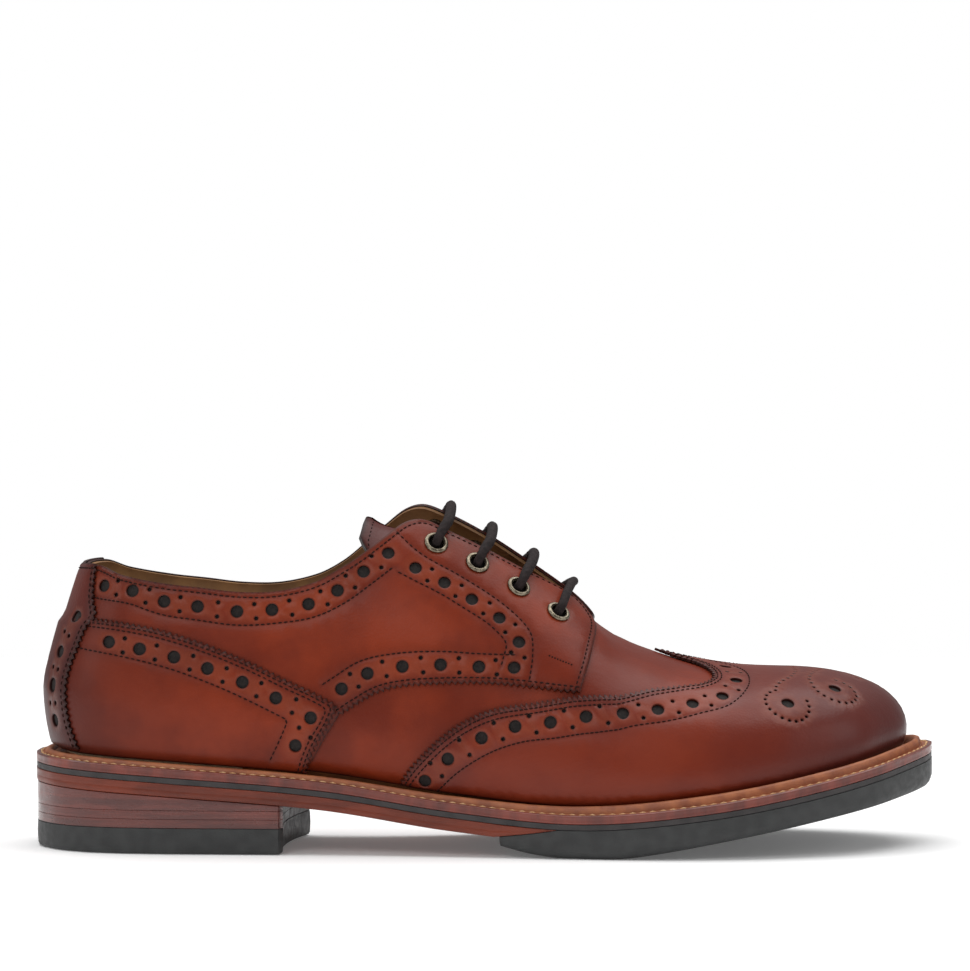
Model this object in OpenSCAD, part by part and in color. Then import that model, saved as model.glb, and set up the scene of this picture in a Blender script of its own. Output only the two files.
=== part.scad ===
// Right-foot derby shoe, full brogue, welted leather and rubber sole.
// +X points to the toe, -Y is the outer (lateral) side, +Z is up, ground at z = 0.
// Every upper panel is a shell offset from one shoe surface. A point on that surface has a side
// (-1 outer, 1 inner), a station s along the shoe (-150 back of the heel, 150 tip of the toe, equal
// to x between the heel and toe centres) and a height t (0 at the sole, 1 at the ridge).

/* [Sole] */
// Thickness of the thin dark layer under the welt
mid_t = 2; // [1.5:0.1:2.5]
// Thickness of the leather waist and seat layer
waist_t = 4.4; // [3.5:0.1:4.6]
// Thickness of the welt
welt_t = 3; // [2.6:0.1:3.2]
// Height of the welt's storm rib above the welt
rib_h = 1.8; // [1:0.1:2.2]
// Thickness of the rubber heel top piece
top_piece_h = 8.5; // [7:0.5:9]
// Width of the outsole's rolled bottom edge
tread_bevel = 2.4; // [1.5:0.1:3]

/* [Upper] */
// Thickness of the outer leather panels
leather_t = 1.2; // [1:0.1:1.3]
// Clear space between two panels that lie on each other
layer_gap = 0.5; // [0.4:0.05:0.6]
// Thickness of the linings
lining_t = 1; // [0.8:0.1:1.1]
// Thickness of the tongue
tongue_t = 2; // [1.4:0.1:2.2]

/* [Lacing] */
// Diameter of the round lace
lace_d = 3.1; // [2.6:0.1:3.2]
// Inner radius of an eyelet
eyelet_r = 2.35; // [2.2:0.05:2.4]
// Radius of an eyelet's flange
flange_r = 3.95; // [3.6:0.05:4.1]

/* [Hidden] */

$fn = 32;
lateral = -1;
medial = 1;
sole_half = 150;   // half of the sole's length, and the last station at each end
toe_c = [98, 9];   // centre that the toe stations fan out from
heel_c = [-112, 2];

// Edge of the sole seen from above, as [station, x, y]
lateral_edge = [
    [-150, -150, 3], [-146, -148.5, -9], [-139, -141, -22], [-128, -128, -30.5], [-110, -110, -34.5],
    [-85, -85, -36.5], [-60, -60, -38], [-30, -30, -40.5], [0, 0, -45], [30, 30, -50.5], [60, 60, -53.5],
    [90, 90, -50.5], [113, 113, -42], [130, 130, -31], [141, 141.5, -16], [147, 148.2, -3], [150, 150, 9]];
medial_edge = [
    [-150, -150, 3], [-146, -148.5, 15], [-139, -141, 26], [-128, -128, 32.5], [-110, -110, 35],
    [-85, -85, 32], [-60, -60, 28], [-30, -30, 26], [0, 0, 31], [30, 30, 42], [60, 60, 49.5],
    [90, 90, 50], [113, 113, 45], [130, 130, 37.5], [141, 142, 27], [147, 148.4, 18], [150, 150, 9]];

// Heights along x
welt_top_z = [
    [-150, 31], [-104, 28.1], [-54, 24.1], [-12, 17.8], [30, 14.3], [71, 17.6], [110, 24.3], [150, 33.5]];
tread_z = [
    [0, 5], [6, 3.4], [13, 1.6], [21, 0.3], [26, 0], [44, 0], [55, 1.4], [71, 4.2], [110, 11.6], [150, 19.6]];

// The shoe surface: values along the stations
seat_inset_lateral = [
    [-150, 10.2], [-125, 8.5], [-90, 8], [-30, 8], [0, 8.5], [60, 9.5], [113, 10], [150, 10.2]];
seat_inset_medial = [
    [-150, 10.2], [-125, 8.5], [-90, 7.5], [-30, 7], [0, 8], [60, 9.5], [113, 10], [150, 10.2]];
bulge_lateral = [
    [-150, 3.6], [-110, 2.6], [-60, 2.8], [-20, 3.2], [20, 2.2], [60, 1.2], [100, 0.4], [150, 0.2]];
bulge_medial = [[-150, 3.6], [-110, 2.6], [-60, 4.2], [-20, 6], [20, 4], [60, 1.6], [100, 0.4], [150, 0.2]];
ridge_y = [[-112, 2], [-60, 3], [-20, 5], [20, 7], [50, 8], [98, 9]];
ridge_z = [
    [-150, 138], [-130, 147], [-112, 150], [-80, 143], [-50, 129], [-20, 115], [0, 104], [15, 93.5],
    [28, 83.5], [38, 74.5], [45, 68.5], [57, 63.5], [65, 61], [75, 59], [86, 57.5], [98, 57], [150, 57]];
widest_z = [[-150, 54], [-112, 50], [-60, 44], [-20, 37], [20, 29], [60, 25.5], [100, 29.5], [150, 37]];
roundness = [
    [-150, 1.15], [-130, 1.3], [-112, 1.5], [-60, 1.75], [-20, 1.95],
    [20, 2], [60, 2.15], [98, 2.3], [150, 2.3]];
low_part = 0.2;    // share of the height t that lies under the widest line
foot_lift = 0.8;   // clearance between the upper's lower edge and the welt

// Panel edges, as [station, height t]
topline = [
    [-150, 0.555], [-136, 0.53], [-123, 0.488], [-106, 0.458], [-81.5, 0.45], [-69, 0.462], [-56.5, 0.497],
    [-48, 0.542], [-41, 0.59], [-33, 0.665], [-26, 0.745], [-20, 0.785], [-12, 0.79], [0, 0.8], [10, 0.815],
    [20, 0.86], [28, 0.9], [33, 0.89], [36, 0.82]];
medial_topline = [
    [-150, 0.555], [-136, 0.53], [-123, 0.488], [-106, 0.458], [-81.5, 0.45], [-69, 0.462], [-56.5, 0.497],
    [-48, 0.542], [-41, 0.6], [-33, 0.69], [-26, 0.79], [-20, 0.86], [-12, 0.88], [0, 0.89], [10, 0.9],
    [20, 0.915], [28, 0.925], [33, 0.91], [36, 0.84]];
quarter_foot = [
    [-150, 0], [-61, 0], [-57, 0.05], [-48, 0.235], [-35, 0.296], [-14, 0.342], [15, 0.408], [29, 0.45],
    [33, 0.56], [36, 0.7]];
vamp_back = [
    [-62, 0.1], [-48, 0.3], [-35, 0.36], [-14, 0.41], [15, 0.48], [28, 0.56], [36, 0.74], [43, 1], [150, 1]];
cap_edge = [
    [-28, 0.06], [-22, 0.125], [-15, 0.21], [-7, 0.265], [2.5, 0.315], [19.5, 0.38], [36, 0.462], [52, 0.575],
    [62, 0.64], [70, 0.7], [78, 0.8], [90, 1], [150, 1]];
counter_top = [
    [-150, 0.44], [-133, 0.417], [-110, 0.375], [-94, 0.35], [-77, 0.317], [-64, 0.288], [-49, 0.25]];
counter_foot = [[-150, 0.025], [-60, 0.025], [-57, 0.06], [-53, 0.14], [-49, 0.22]];
stiffener_top = [[-150, 0.42], [-110, 0.34], [-80, 0.22]];
puff_back = [[96, 0.6], [104, 0.72], [150, 0.88]];

// Offsets from the shoe surface
quarter_in = layer_gap;
quarter_out = quarter_in + leather_t;
counter_in = quarter_out + layer_gap;
counter_out = counter_in + leather_t;
strap_in = counter_out + layer_gap;
strap_out = strap_in + leather_t;
lining_out = -leather_t - 1.5 * layer_gap;
lining_in = lining_out - lining_t;
tongue_out = lining_in - lace_d - 1.4;
tongue_in = tongue_out - tongue_t;
toe_lining_out = lining_in - layer_gap;
toe_lining_in = toe_lining_out - lining_t;

// Stations that the shells are built on
heel_stations = [-150, -147.5, -144.5, -141, -137, -132, -126, -119, -112];
body_stations = [
    -104, -96, -88, -80, -72, -66, -61, -57, -53, -49, -44, -38, -32, -26, -20, -14, -7,
    0, 7, 14, 20, 25, 29, 33, 36];
front_stations = [43, 48, 53, 58, 64, 70, 77, 84, 91, 98, 104, 110, 116, 122, 128, 134, 139, 143, 147, 150];

// ---------------------------------------------------------------- curves
function hermite(a, b, ma, mb, u) =
    (2 * pow(u, 3) - 3 * u * u + 1) * a + (pow(u, 3) - 2 * u * u + u) * ma
    + (3 * u * u - 2 * pow(u, 3)) * b + (pow(u, 3) - u * u) * mb;
function slope(p, k) =
    let (a = p[max(k - 1, 0)], b = p[min(k + 1, len(p) - 1)])
    (b[1] - a[1]) / (b[0] - a[0]);
function segment(p, x, k = 0) = k >= len(p) - 2 || x < p[k + 1][0] ? k : segment(p, x, k + 1);
// Smooth curve through the points p, held level past its ends
function curve(p, x) =
    x <= p[0][0] ? p[0][1]
    : x >= p[len(p) - 1][0] ? p[len(p) - 1][1]
    : let (k = segment(p, x), h = p[k + 1][0] - p[k][0])
      hermite(p[k][1], p[k + 1][1], slope(p, k) * h, slope(p, k + 1) * h, (x - p[k][0]) / h);
function pick(p, i) = [for (q = p) [q[0], q[i]]];

lateral_x = pick(lateral_edge, 1);
lateral_y = pick(lateral_edge, 2);
medial_x = pick(medial_edge, 1);
medial_y = pick(medial_edge, 2);
function edge(side, s) =
    side < 0 ? [curve(lateral_x, s), curve(lateral_y, s)] : [curve(medial_x, s), curve(medial_y, s)];

// ---------------------------------------------------------------- shoe surface
function core(s, x) = s >= toe_c[0] ? toe_c : s <= heel_c[0] ? heel_c : [x, curve(ridge_y, x)];
// Everything about one station: centre, direction, foot radius, bulge, foot z, widest z, ridge z, roundness
function station(side, s) =
    let (
        e = edge(side, s),
        c = core(s, e[0]),
        reach = norm(e - c),
        dir = (e - c) / reach,
        foot = reach - curve(side < 0 ? seat_inset_lateral : seat_inset_medial, s),
        foot_z = curve(welt_top_z, (c + dir * foot)[0]) + foot_lift)
    [c, dir, foot, curve(side < 0 ? bulge_lateral : bulge_medial, s), foot_z,
        curve(widest_z, s), curve(ridge_z, s), curve(roundness, s)];
function on_station(q, t) =
    let (
        low = t < low_part,
        k = low ? 1 - t / low_part : 0,
        a = low ? 0 : min(90 * (t - low_part) / (1 - low_part), 90),
        r = low ? q[2] + q[3] * (1 - k * k) : (q[2] + q[3]) * pow(max(cos(a), 0), 2 / q[7]),
        z = low ? q[5] - (q[5] - q[4]) * k : q[5] + (q[6] - q[5]) * pow(sin(a), 2 / q[7]),
        p = q[0] + q[1] * r)
    [p[0], p[1], z];

// Outward normal, from four points close by
step_s = 0.3;
step_t = 0.004;
function normals(side, s, ts) =
    let (
        here = station(side, s),
        back = station(side, max(s - step_s, -sole_half)),
        front = station(side, min(s + step_s, sole_half)))
    [for (t = ts)
        let (
            tt = min(t, 1 - 2 * step_t),
            u = on_station(front, tt) - on_station(back, tt),
            v = on_station(here, tt + step_t) - on_station(here, max(tt - step_t, 0)),
            n = cross(u, v) * -side)
        n / norm(n)];
// One column of points at station s, heights ts, lifted off the surface
function column(side, s, ts, off) =
    let (q = station(side, s), n = normals(side, s, ts))
    [for (i = [0:len(ts) - 1]) on_station(q, ts[i]) + n[i] * off];
// Heights from the foot curve to the top curve at station s, kept between the sole and the ridge
function heights(foot, top, s, rows) =
    let (lo = max(curve(foot, s), 0), hi = min(curve(top, s), 1))
    [for (i = [0:rows]) lo + (hi - lo) * i / rows];
function lifted(side, s, t, off) = column(side, s, [t], off)[0];

// ---------------------------------------------------------------- shells
// Closed shell between two grids of columns. flip is for columns that run the other way round.
module grid_shell(outer, inner, flip = false) {
    nc = len(outer);
    nr = len(outer[0]);
    n = nc * nr;
    points = concat([for (c = outer) each c], [for (c = inner) each c]);
    skin = [for (i = [0:nc - 2], j = [0:nr - 2])
        let (a = i * nr + j, b = a + nr)
        each [[a, b, b + 1], [a, b + 1, a + 1]]];
    inside = [for (f = skin) [f[2] + n, f[1] + n, f[0] + n]];
    sides = [for (i = [0:nc - 2])
        let (a = i * nr, b = a + nr, c = a + nr - 1, d = b + nr - 1)
        each [[a, a + n, b + n], [a, b + n, b], [c, d, d + n], [c, d + n, c + n]]];
    ends = [for (j = [0:nr - 2])
        let (a = j, b = (nc - 1) * nr + j)
        each [[a, a + 1, a + 1 + n], [a, a + 1 + n, a + n], [b, b + n, b + 1 + n], [b, b + 1 + n, b + 1]]];
    faces = concat(skin, inside, sides, ends);
    polyhedron(points, flip ? [for (f = faces) [f[2], f[1], f[0]]] : faces, convexity = 10);
}

// Panel on one side of the shoe, between two edge curves
module side_panel(side, stations, foot, top, rows, off_in, off_out) {
    function grid(off) = [for (s = stations) column(side, s, heights(foot, top, s, rows), off)];
    grid_shell(grid(off_out), grid(off_in), side > 0);
}

// Panel round the back of the heel, on both sides
module heel_panel(stations, foot, top, rows, off_in, off_out) {
    function grid(off) = concat(
        [for (i = [len(stations) - 1:-1:1])
            column(medial, stations[i], heights(foot, top, stations[i], rows), off)],
        [for (s = stations) column(lateral, s, heights(foot, top, s, rows), off)]);
    grid_shell(grid(off_out), grid(off_in));
}

// Panel round the toe, on both sides. From station join on, the two sides meet at the ridge.
module toe_panel(stations, foot, top, rows, off_in, off_out, join) {
    m = len(stations);
    all = concat([for (s = stations) [lateral, s]], [for (i = [m - 2:-1:0]) [medial, stations[i]]]);
    nc = len(all);
    nr = rows + 1;
    n = nc * nr;
    function grid(off) = [for (q = all)
        each column(q[0], q[1], heights(foot, top, q[1], rows), off)];
    pole = len([for (s = stations) if (s < toe_c[0]) s]);
    function tip(i) = min(i, nc - 1 - i, pole);
    function at(i, j) = (j == rows && all[i][1] >= join ? tip(i) : i) * nr + j;
    function sound(f) = f[0] != f[1] && f[1] != f[2] && f[2] != f[0];
    skin = [for (i = [0:nc - 2], j = [0:rows - 1])
        each [[at(i, j), at(i + 1, j), at(i + 1, j + 1)], [at(i, j), at(i + 1, j + 1), at(i, j + 1)]]];
    inside = [for (f = skin) [f[2] + n, f[1] + n, f[0] + n]];
    foot_rim = [for (i = [0:nc - 2])
        let (a = at(i, 0), b = at(i + 1, 0)) each [[a, a + n, b + n], [a, b + n, b]]];
    top_rim = [for (i = [0:nc - 2])
        let (a = at(i, rows), b = at(i + 1, rows))
        each (all[i][1] >= join && all[i + 1][1] >= join ? [] : [[a, b, b + n], [a, b + n, a + n]])];
    ends = [for (j = [0:rows - 1])
        let (a = at(0, j), b = at(0, j + 1), c = at(nc - 1, j), d = at(nc - 1, j + 1))
        each [[a, b, b + n], [a, b + n, a + n], [c, c + n, d + n], [c, d + n, d]]];
    faces = [for (f = concat(skin, inside, foot_rim, top_rim, ends)) if (sound(f)) f];
    polyhedron(concat(grid(off_out), grid(off_in)), faces, convexity = 10);
}

// ---------------------------------------------------------------- sole
plan_stations = concat(heel_stations, body_stations, front_stations);
slab_x = [
    for (x = [-152:12:-68]) x, for (x = [-60:8:-4]) x, 3, 8, 13, 18, 24, 30, 36, 44, 50, 56,
    for (x = [64:8:152]) x];
waist_end = 24;     // the leather waist layer is feathered out here
waist_taper = 3;    // and starts to thin here
rubber_start = 3;
slab_end = 152;    // every sole layer is drawn a little past the outline, then cut by it
insole_t = 2.5;
pad_t = 0.8;
pad_front = -44;
lift_h = (14.3 - top_piece_h) / 2;

function welt_top(x) = curve(welt_top_z, x);
function welt_foot(x) = welt_top(x) - welt_t;
function mid_foot(x) = welt_foot(x) - mid_t;
function waist_share(x) = min(max((waist_end - x) / (waist_end - waist_taper), 0), 1);
function waist_foot(x) = mid_foot(x) - waist_t * waist_share(x);

function inward(side, s) =
    abs(s) == sole_half ? [-sign(s), 0]
    : let (d = edge(side, s + step_s) - edge(side, s - step_s)) [d[1], -d[0]] * side / norm(d);
function seat_inset(side, s) = curve(side < 0 ? seat_inset_lateral : seat_inset_medial, s);
function rim(side, s, inset, seat) = edge(side, s) + inward(side, s) * (inset + seat * seat_inset(side, s));
// Sole outline moved inward by inset, and by the upper's own inset as well when seat is 1
module outline(inset, seat = 0) {
    m = len(plan_stations);
    polygon(concat(
        [for (s = plan_stations) rim(lateral, s, inset, seat)],
        [for (i = [m - 2:-1:1]) rim(medial, plan_stations[i], inset, seat)]));
}
// Everything between two height lines, from x0 to x1
module side_profile(low, high) {
    rotate([90, 0, 0])
        translate([0, 0, -80])
            linear_extrude(160)
                polygon(concat(low, [for (i = [len(high) - 1:-1:0]) high[i]]));
}
function line(f, x0, x1, add = 0) = [for (x = slab_x) if (x >= x0 && x <= x1) [x, f(x) + add]];
module solid_outline(inset, seat = 0) {
    linear_extrude(60) outline(inset, seat);
}
module ring_outline(from, to) {
    linear_extrude(60) difference() {
        outline(from);
        outline(to);
    }
}

// Side profile between two of the sole's heights, each raised by its own amount
module slice(low, high, low_add = 0, high_add = 0, front = slab_end) {
    side_profile(line(low, -slab_end, front, low_add), line(high, -slab_end, front, high_add));
}

feather = 0.2;   // thickness that the rubber is feathered down to under the waist
function tread_line(lift) =
    line(function(x) min(curve(tread_z, x) + lift, waist_foot(x) - feather), rubber_start, slab_end);
module outsole_forepart() {
    roof = line(function(x) waist_foot(x), rubber_start, slab_end);
    // Rolled bottom edge, as [inset, height above the tread]
    steps = [[0, tread_bevel], [0.35 * tread_bevel, tread_bevel / 2], [tread_bevel, 0]];
    color("#3b3c3c")
        union() {
            intersection() {
                solid_outline(0);
                side_profile(tread_line(tread_bevel), roof);
            }
            for (i = [1:2])
                intersection() {
                    solid_outline(steps[i][0]);
                    side_profile(tread_line(steps[i][1]), tread_line(steps[i - 1][1]));
                }
        }
}

module midlayer() {
    color("#403634")
        intersection() {
            solid_outline(0);
            slice(function(x) mid_foot(x), function(x) welt_foot(x));
        }
}

module waist_layer() {
    color("#7a3a2e")
        intersection() {
            solid_outline(0);
            slice(function(x) waist_foot(x), function(x) mid_foot(x), front = waist_end);
        }
}

welt_in = 13;
rib_from = 2.4;
rib_to = 4.2;
module welt() {
    color("#b06f4c")
        union() {
            intersection() {
                ring_outline(0, welt_in);
                slice(function(x) welt_foot(x), function(x) welt_top(x));
            }
            intersection() {
                ring_outline(rib_from, rib_to);
                slice(function(x) welt_top(x), function(x) welt_top(x), high_add = rib_h);
            }
        }
}

// ---------------------------------------------------------------- heel
breast_x = -61.5;
breast_slant = 0.128;
breast_r = 160;
breast_centre = [breast_x + breast_r - 5.3, -3 - breast_r * breast_slant];
heel_inset = 0.4;
nail_r = 1;
nail_foot = 1;
nail_top = 13.6;
nail_ring = [-108, 1.5];
nail_spread = [22, 21];
module heel_block(z0, z1) {
    difference() {
        intersection() {
            translate([0, 0, z0]) linear_extrude(z1 - z0) outline(heel_inset);
            translate([0, 0, z0])
                linear_extrude(z1 - z0)
                    polygon([
                        [-200, -80], [breast_x - 80 * breast_slant, -80],
                        [breast_x + 80 * breast_slant, 80], [-200, 80]]);
        }
        translate([breast_centre[0], breast_centre[1], z0 - 1])
            cylinder(h = z1 - z0 + 2, r = breast_r, $fn = 90);
    }
}
module nails(r, z0, z1) {
    for (a = [60:40:300])
        translate([nail_ring[0] + nail_spread[0] * cos(a), nail_ring[1] + nail_spread[1] * sin(a), z0])
            cylinder(h = z1 - z0, r = r);
}
module heel_top_piece() {
    color("#303030")
        difference() {
            heel_block(0, top_piece_h);
            nails(nail_r + 0.15, -1, top_piece_h + 1);
        }
}
module heel_lift_1() {
    color("#6e352b")
        difference() {
            heel_block(top_piece_h, top_piece_h + lift_h);
            nails(nail_r + 0.15, top_piece_h - 1, top_piece_h + lift_h + 1);
        }
}
module heel_lift_2() {
    color("#7d3f31")
        difference() {
            heel_block(top_piece_h + lift_h, top_piece_h + 2 * lift_h);
            nails(nail_r + 0.15, top_piece_h + lift_h - 1, nail_top + 0.2);
        }
}
module heel_lift_3() {
    base = top_piece_h + 2 * lift_h;
    color("#74382c")
        intersection() {
            heel_block(base, 26);
            side_profile([[-152, base], [-50, base]], line(function(x) waist_foot(x), -slab_end, -52));
        }
}
module heel_nails() {
    color("#b08d4f") nails(nail_r, nail_foot, nail_top);
}

// ---------------------------------------------------------------- inside the sole
module shank_shape(grow) {
    intersection() {
        side_profile(
            line(function(x) welt_foot(x), -104, -4, 0.7 - grow),
            line(function(x) welt_foot(x), -104, -4, 2.1 + grow));
        translate([-100 - grow, -8 - grow, 0]) cube([92 + 2 * grow, 13 + 2 * grow, 60]);
    }
}
module shank() {
    color("#9a9c9e") shank_shape(0);
}
module insole_rib() {
    color("#cdb892")
        intersection() {
            ring_outline(welt_in + 0.6, welt_in + 2.6);
            slice(function(x) welt_foot(x), function(x) welt_top(x));
        }
}
module cork_filler() {
    color("#a9825a")
        difference() {
            intersection() {
                solid_outline(welt_in + 3);
                slice(function(x) welt_foot(x), function(x) welt_top(x));
            }
            shank_shape(0.1);
        }
}
module insole() {
    color("#c19a6b")
        intersection() {
            solid_outline(5.2, 1);
            slice(function(x) welt_top(x), function(x) welt_top(x), high_add = insole_t);
        }
}
module heel_pad() {
    color("#8a5a34")
        intersection() {
            solid_outline(6.4, 1);
            slice(function(x) welt_top(x), function(x) welt_top(x), insole_t, insole_t + pad_t, pad_front);
        }
}

// ---------------------------------------------------------------- upper
flat_foot = [[-150, 0], [150, 0]];
cap_foot = [[-150, 0.012], [150, 0.012]];
strap_foot = [[-150, 0.04], [150, 0.04]];
cap_lift = 0.25;   // the wing cap stands this much further off the vamp than the quarters do
from_vamp = [for (s = body_stations) if (s >= -61) s];
function plus(p, d) = [for (q = p) [q[0], q[1] + d]];

module vamp() {
    color("#7d372a")
        toe_panel(concat(from_vamp, front_stations), flat_foot, vamp_back, 10, -leather_t, 0, 43);
}
module wing_cap() {
    color("#6f3230")
        toe_panel(
            concat([for (s = from_vamp) if (s >= -26) s], front_stations),
            cap_foot, cap_edge, 7, quarter_in + cap_lift, quarter_out + cap_lift, 90.5);
}
module toe_puff() {
    color("#e3d9c4")
        toe_panel(
            [for (s = front_stations) if (s > 97) s],
            flat_foot, puff_back, 5, lining_in, lining_out, 151);
}
module vamp_lining() {
    color("#b98a55")
        toe_panel([for (s = front_stations) if (s > 47) s], flat_foot, [[-150, 1], [150, 1]], 9,
            toe_lining_in, toe_lining_out, 48);
}

quarter_stations = concat(heel_stations, body_stations);
// The quarters meet at the back seam, a hair's breadth apart
seam = 0.3;
function off_seam(stations) = concat([-sole_half + seam], [for (s = stations) if (s > -sole_half) s]);

eyelet_s = [23.5, 10.5, -3, -16.5];
eyelet_t = [0.705, 0.78];  // lateral, medial
eyelet_hole_r = 3.2;
function eyelet_height(side) = side < 0 ? eyelet_t[0] : eyelet_t[1];
// Children stand on the surface at station s and height t, with +Z along the outward normal
module stand_on(side, s, t) {
    p = lifted(side, s, t, 0);
    n = normals(side, s, [t])[0];
    translate(p)
        rotate([0, acos(n[2]), atan2(n[1], n[0])])
            children();
}
module eyelet_holes(side) {
    for (s = eyelet_s)
        stand_on(side, s, eyelet_height(side))
            translate([0, 0, -8]) cylinder(h = 16, r = eyelet_hole_r);
}
module quarter(side) {
    difference() {
        side_panel(side, off_seam(quarter_stations), quarter_foot, side < 0 ? topline : medial_topline, 10,
            quarter_in, quarter_out);
        eyelet_holes(side);
    }
}
module quarter_lateral() {
    color("#82392b") quarter(lateral);
}
module quarter_medial() {
    color("#82392b") quarter(medial);
}

lining_stations = [for (s = quarter_stations) if (s <= 33) s];
module quarter_lining(side) {
    difference() {
        side_panel(
            side, off_seam(lining_stations), flat_foot,
            plus(side < 0 ? topline : medial_topline, -0.008), 10, lining_in, lining_out);
        eyelet_holes(side);
    }
}
module quarter_lining_lateral() {
    color("#b98a55") quarter_lining(lateral);
}
module quarter_lining_medial() {
    color("#b98a55") quarter_lining(medial);
}

counter_stations = [for (s = quarter_stations) if (s <= -49) s];
module counter(side) {
    side_panel(side, off_seam(counter_stations), counter_foot, counter_top, 6, counter_in, counter_out);
}
module counter_lateral() {
    color("#7a342c") counter(lateral);
}
module counter_medial() {
    color("#7a342c") counter(medial);
}
module back_strap() {
    color("#6c2f26")
        heel_panel([-150, -147.5, -144.5, -141, -138, -135], strap_foot, topline, 10, strap_in, strap_out);
}
module heel_stiffener() {
    color("#d9cdb4")
        heel_panel(
            [for (s = quarter_stations) if (s <= -80) s],
            flat_foot, stiffener_top, 5, -leather_t, -0.1);
}

// ---------------------------------------------------------------- tongue
tongue_stations = [-41.5, -39, -35, -30, -24, -17, -10, -3, 4, 11, 18, 25, 31, 36];
tongue_side = [[-43, 0.76], [-40, 0.7], [-33, 0.65], [-20, 0.63], [20, 0.64], [36, 0.76]];
tongue_top = [[-60, 0.995], [60, 0.995]];
tongue_medial_side = plus(tongue_side, 0.05);
// The tongue's free end lies lower than the facings
tongue_drop = [[-43, 7], [-38, 8.1], [-32, 9.2], [-24, 7], [-14, 2.5], [-5, 0]];
module tongue() {
    function arch(s, off) =
        let (
            outer_half = column(lateral, s, heights(tongue_side, tongue_top, s, 7), off),
            inner_half = column(medial, s, heights(tongue_medial_side, tongue_top, s, 7), off))
        [for (p = concat(outer_half, reversed(inner_half))) p - [0, 0, curve(tongue_drop, s)]];
    color("#7a3628")
        grid_shell(
            [for (s = tongue_stations) arch(s, tongue_out)],
            [for (s = tongue_stations) arch(s, tongue_in)]);
}

// ---------------------------------------------------------------- eyelets and lace
module eyelet_ring() {
    barrel_r = 2.95;
    barrel_foot = lining_in - 0.1;
    flange_foot = quarter_out + 0.15;
    rotate_extrude($fn = 40)
        polygon([
            [eyelet_r, barrel_foot], [barrel_r, barrel_foot], [barrel_r, flange_foot],
            [flange_r, flange_foot], [flange_r, flange_foot + 0.3], [flange_r - 0.5, flange_foot + 0.75],
            [eyelet_r + 0.4, flange_foot + 0.75], [eyelet_r, flange_foot + 0.3]]);
}
module eyelets(side) {
    color("#96876a")
        for (s = eyelet_s)
            stand_on(side, s, eyelet_height(side)) eyelet_ring();
}
module eyelets_lateral() {
    eyelets(lateral);
}
module eyelets_medial() {
    eyelets(medial);
}

over = quarter_out + lace_d / 2 + 1.45;   // lace's centre line above the facing
under = lining_in - lace_d / 2 - 0.6;     // and under the lining
// From inside the shoe up through one eyelet and over to the facing's edge, as [share of the way, offset]
climb = [[0, under + 0.6], [0, -1.6], [0, 1.6], [0.04, over - 0.7], [0.4, over], [1.04, over - 0.5]];
lean = 4.3;   // each bar runs square to the sloping facing, so it lies further forward at the edge
function up_through(side, s) =
    let (t = eyelet_height(side), edge_t = curve(side < 0 ? topline : medial_topline, s + lean))
    [for (c = climb) lifted(side, s + lean * c[0], t + c[0] * (edge_t - t), c[1])];
function reversed(p) = [for (i = [len(p) - 1:-1:0]) p[i]];
function bar(from, s) = concat(up_through(from, s), reversed(up_through(-from, s)));
function run_inside(side, s0, s1) =
    [for (u = [0.22, 0.5, 0.78]) lifted(side, s0 + (s1 - s0) * u, eyelet_height(side), under)];
// Both ends lie against the inside of the medial quarter, as [station, height t, distance off the wall]
tail_low = [
    [22, 0.72, 0], [18, 0.62, 0], [10, 0.52, 0], [-4, 0.43, 0],
    [-22, 0.35, 0.2], [-40, 0.31, 1], [-56, 0.29, 2.4]];
tail_high = [
    [-18, 0.71, 0], [-21, 0.62, 0], [-27, 0.52, 0], [-38, 0.45, 0],
    [-52, 0.41, 0], [-66, 0.38, 0.8], [-80, 0.37, 2.6]];
function tail(p) = [for (q = p) lifted(medial, q[0], q[1], under - q[2])];
lace_route = concat(
    reversed(tail(tail_low)), bar(medial, eyelet_s[0]),
    run_inside(lateral, eyelet_s[0], eyelet_s[1]), bar(lateral, eyelet_s[1]),
    run_inside(medial, eyelet_s[1], eyelet_s[2]), bar(medial, eyelet_s[2]),
    run_inside(lateral, eyelet_s[2], eyelet_s[3]), bar(lateral, eyelet_s[3]),
    tail(tail_high));

function unit(v) = v / norm(v);
function heading(p, i) = unit(p[min(i + 1, len(p) - 1)] - p[max(i - 1, 0)]);
// Side vectors along the route, each carried over from the one before, so that the tube never twists
function carried(p, i, v, out) =
    i >= len(p) ? out
    : let (h = heading(p, i), w = unit(v - h * (v * h))) carried(p, i + 1, w, concat(out, [w]));
module tube(p, r, sides = 8) {
    start = unit(cross(heading(p, 0), [0.3, 0.5, 0.8]));
    across = carried(p, 0, start, []);
    n = len(p);
    points = [for (i = [0:n - 1])
        let (u = across[i], v = cross(heading(p, i), u))
        each [for (k = [0:sides - 1]) p[i] + r * (u * cos(360 * k / sides) + v * sin(360 * k / sides))]];
    walls = [for (i = [0:n - 2], k = [0:sides - 1])
        let (a = i * sides + k, b = i * sides + (k + 1) % sides)
        each [[a, a + sides, b + sides], [a, b + sides, b]]];
    caps = [[for (k = [0:sides - 1]) k], [for (k = [sides - 1:-1:0]) (n - 1) * sides + k]];
    polyhedron(points, concat(walls, caps), convexity = 10);
}
module lace() {
    color("#3f3431") tube(lace_route, lace_d / 2);
}
aglet_l = 20;
module aglet(end, dir) {
    translate(end + dir * 0.1)
        rotate([0, acos(dir[2]), atan2(dir[1], dir[0])])
            cylinder(h = aglet_l, r = lace_d / 2 - 0.1);
}
module aglets() {
    last = len(lace_route) - 1;
    color("#2c2523") {
        aglet(lace_route[0], -heading(lace_route, 0));
        aglet(lace_route[last], heading(lace_route, last));
    }
}

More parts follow.
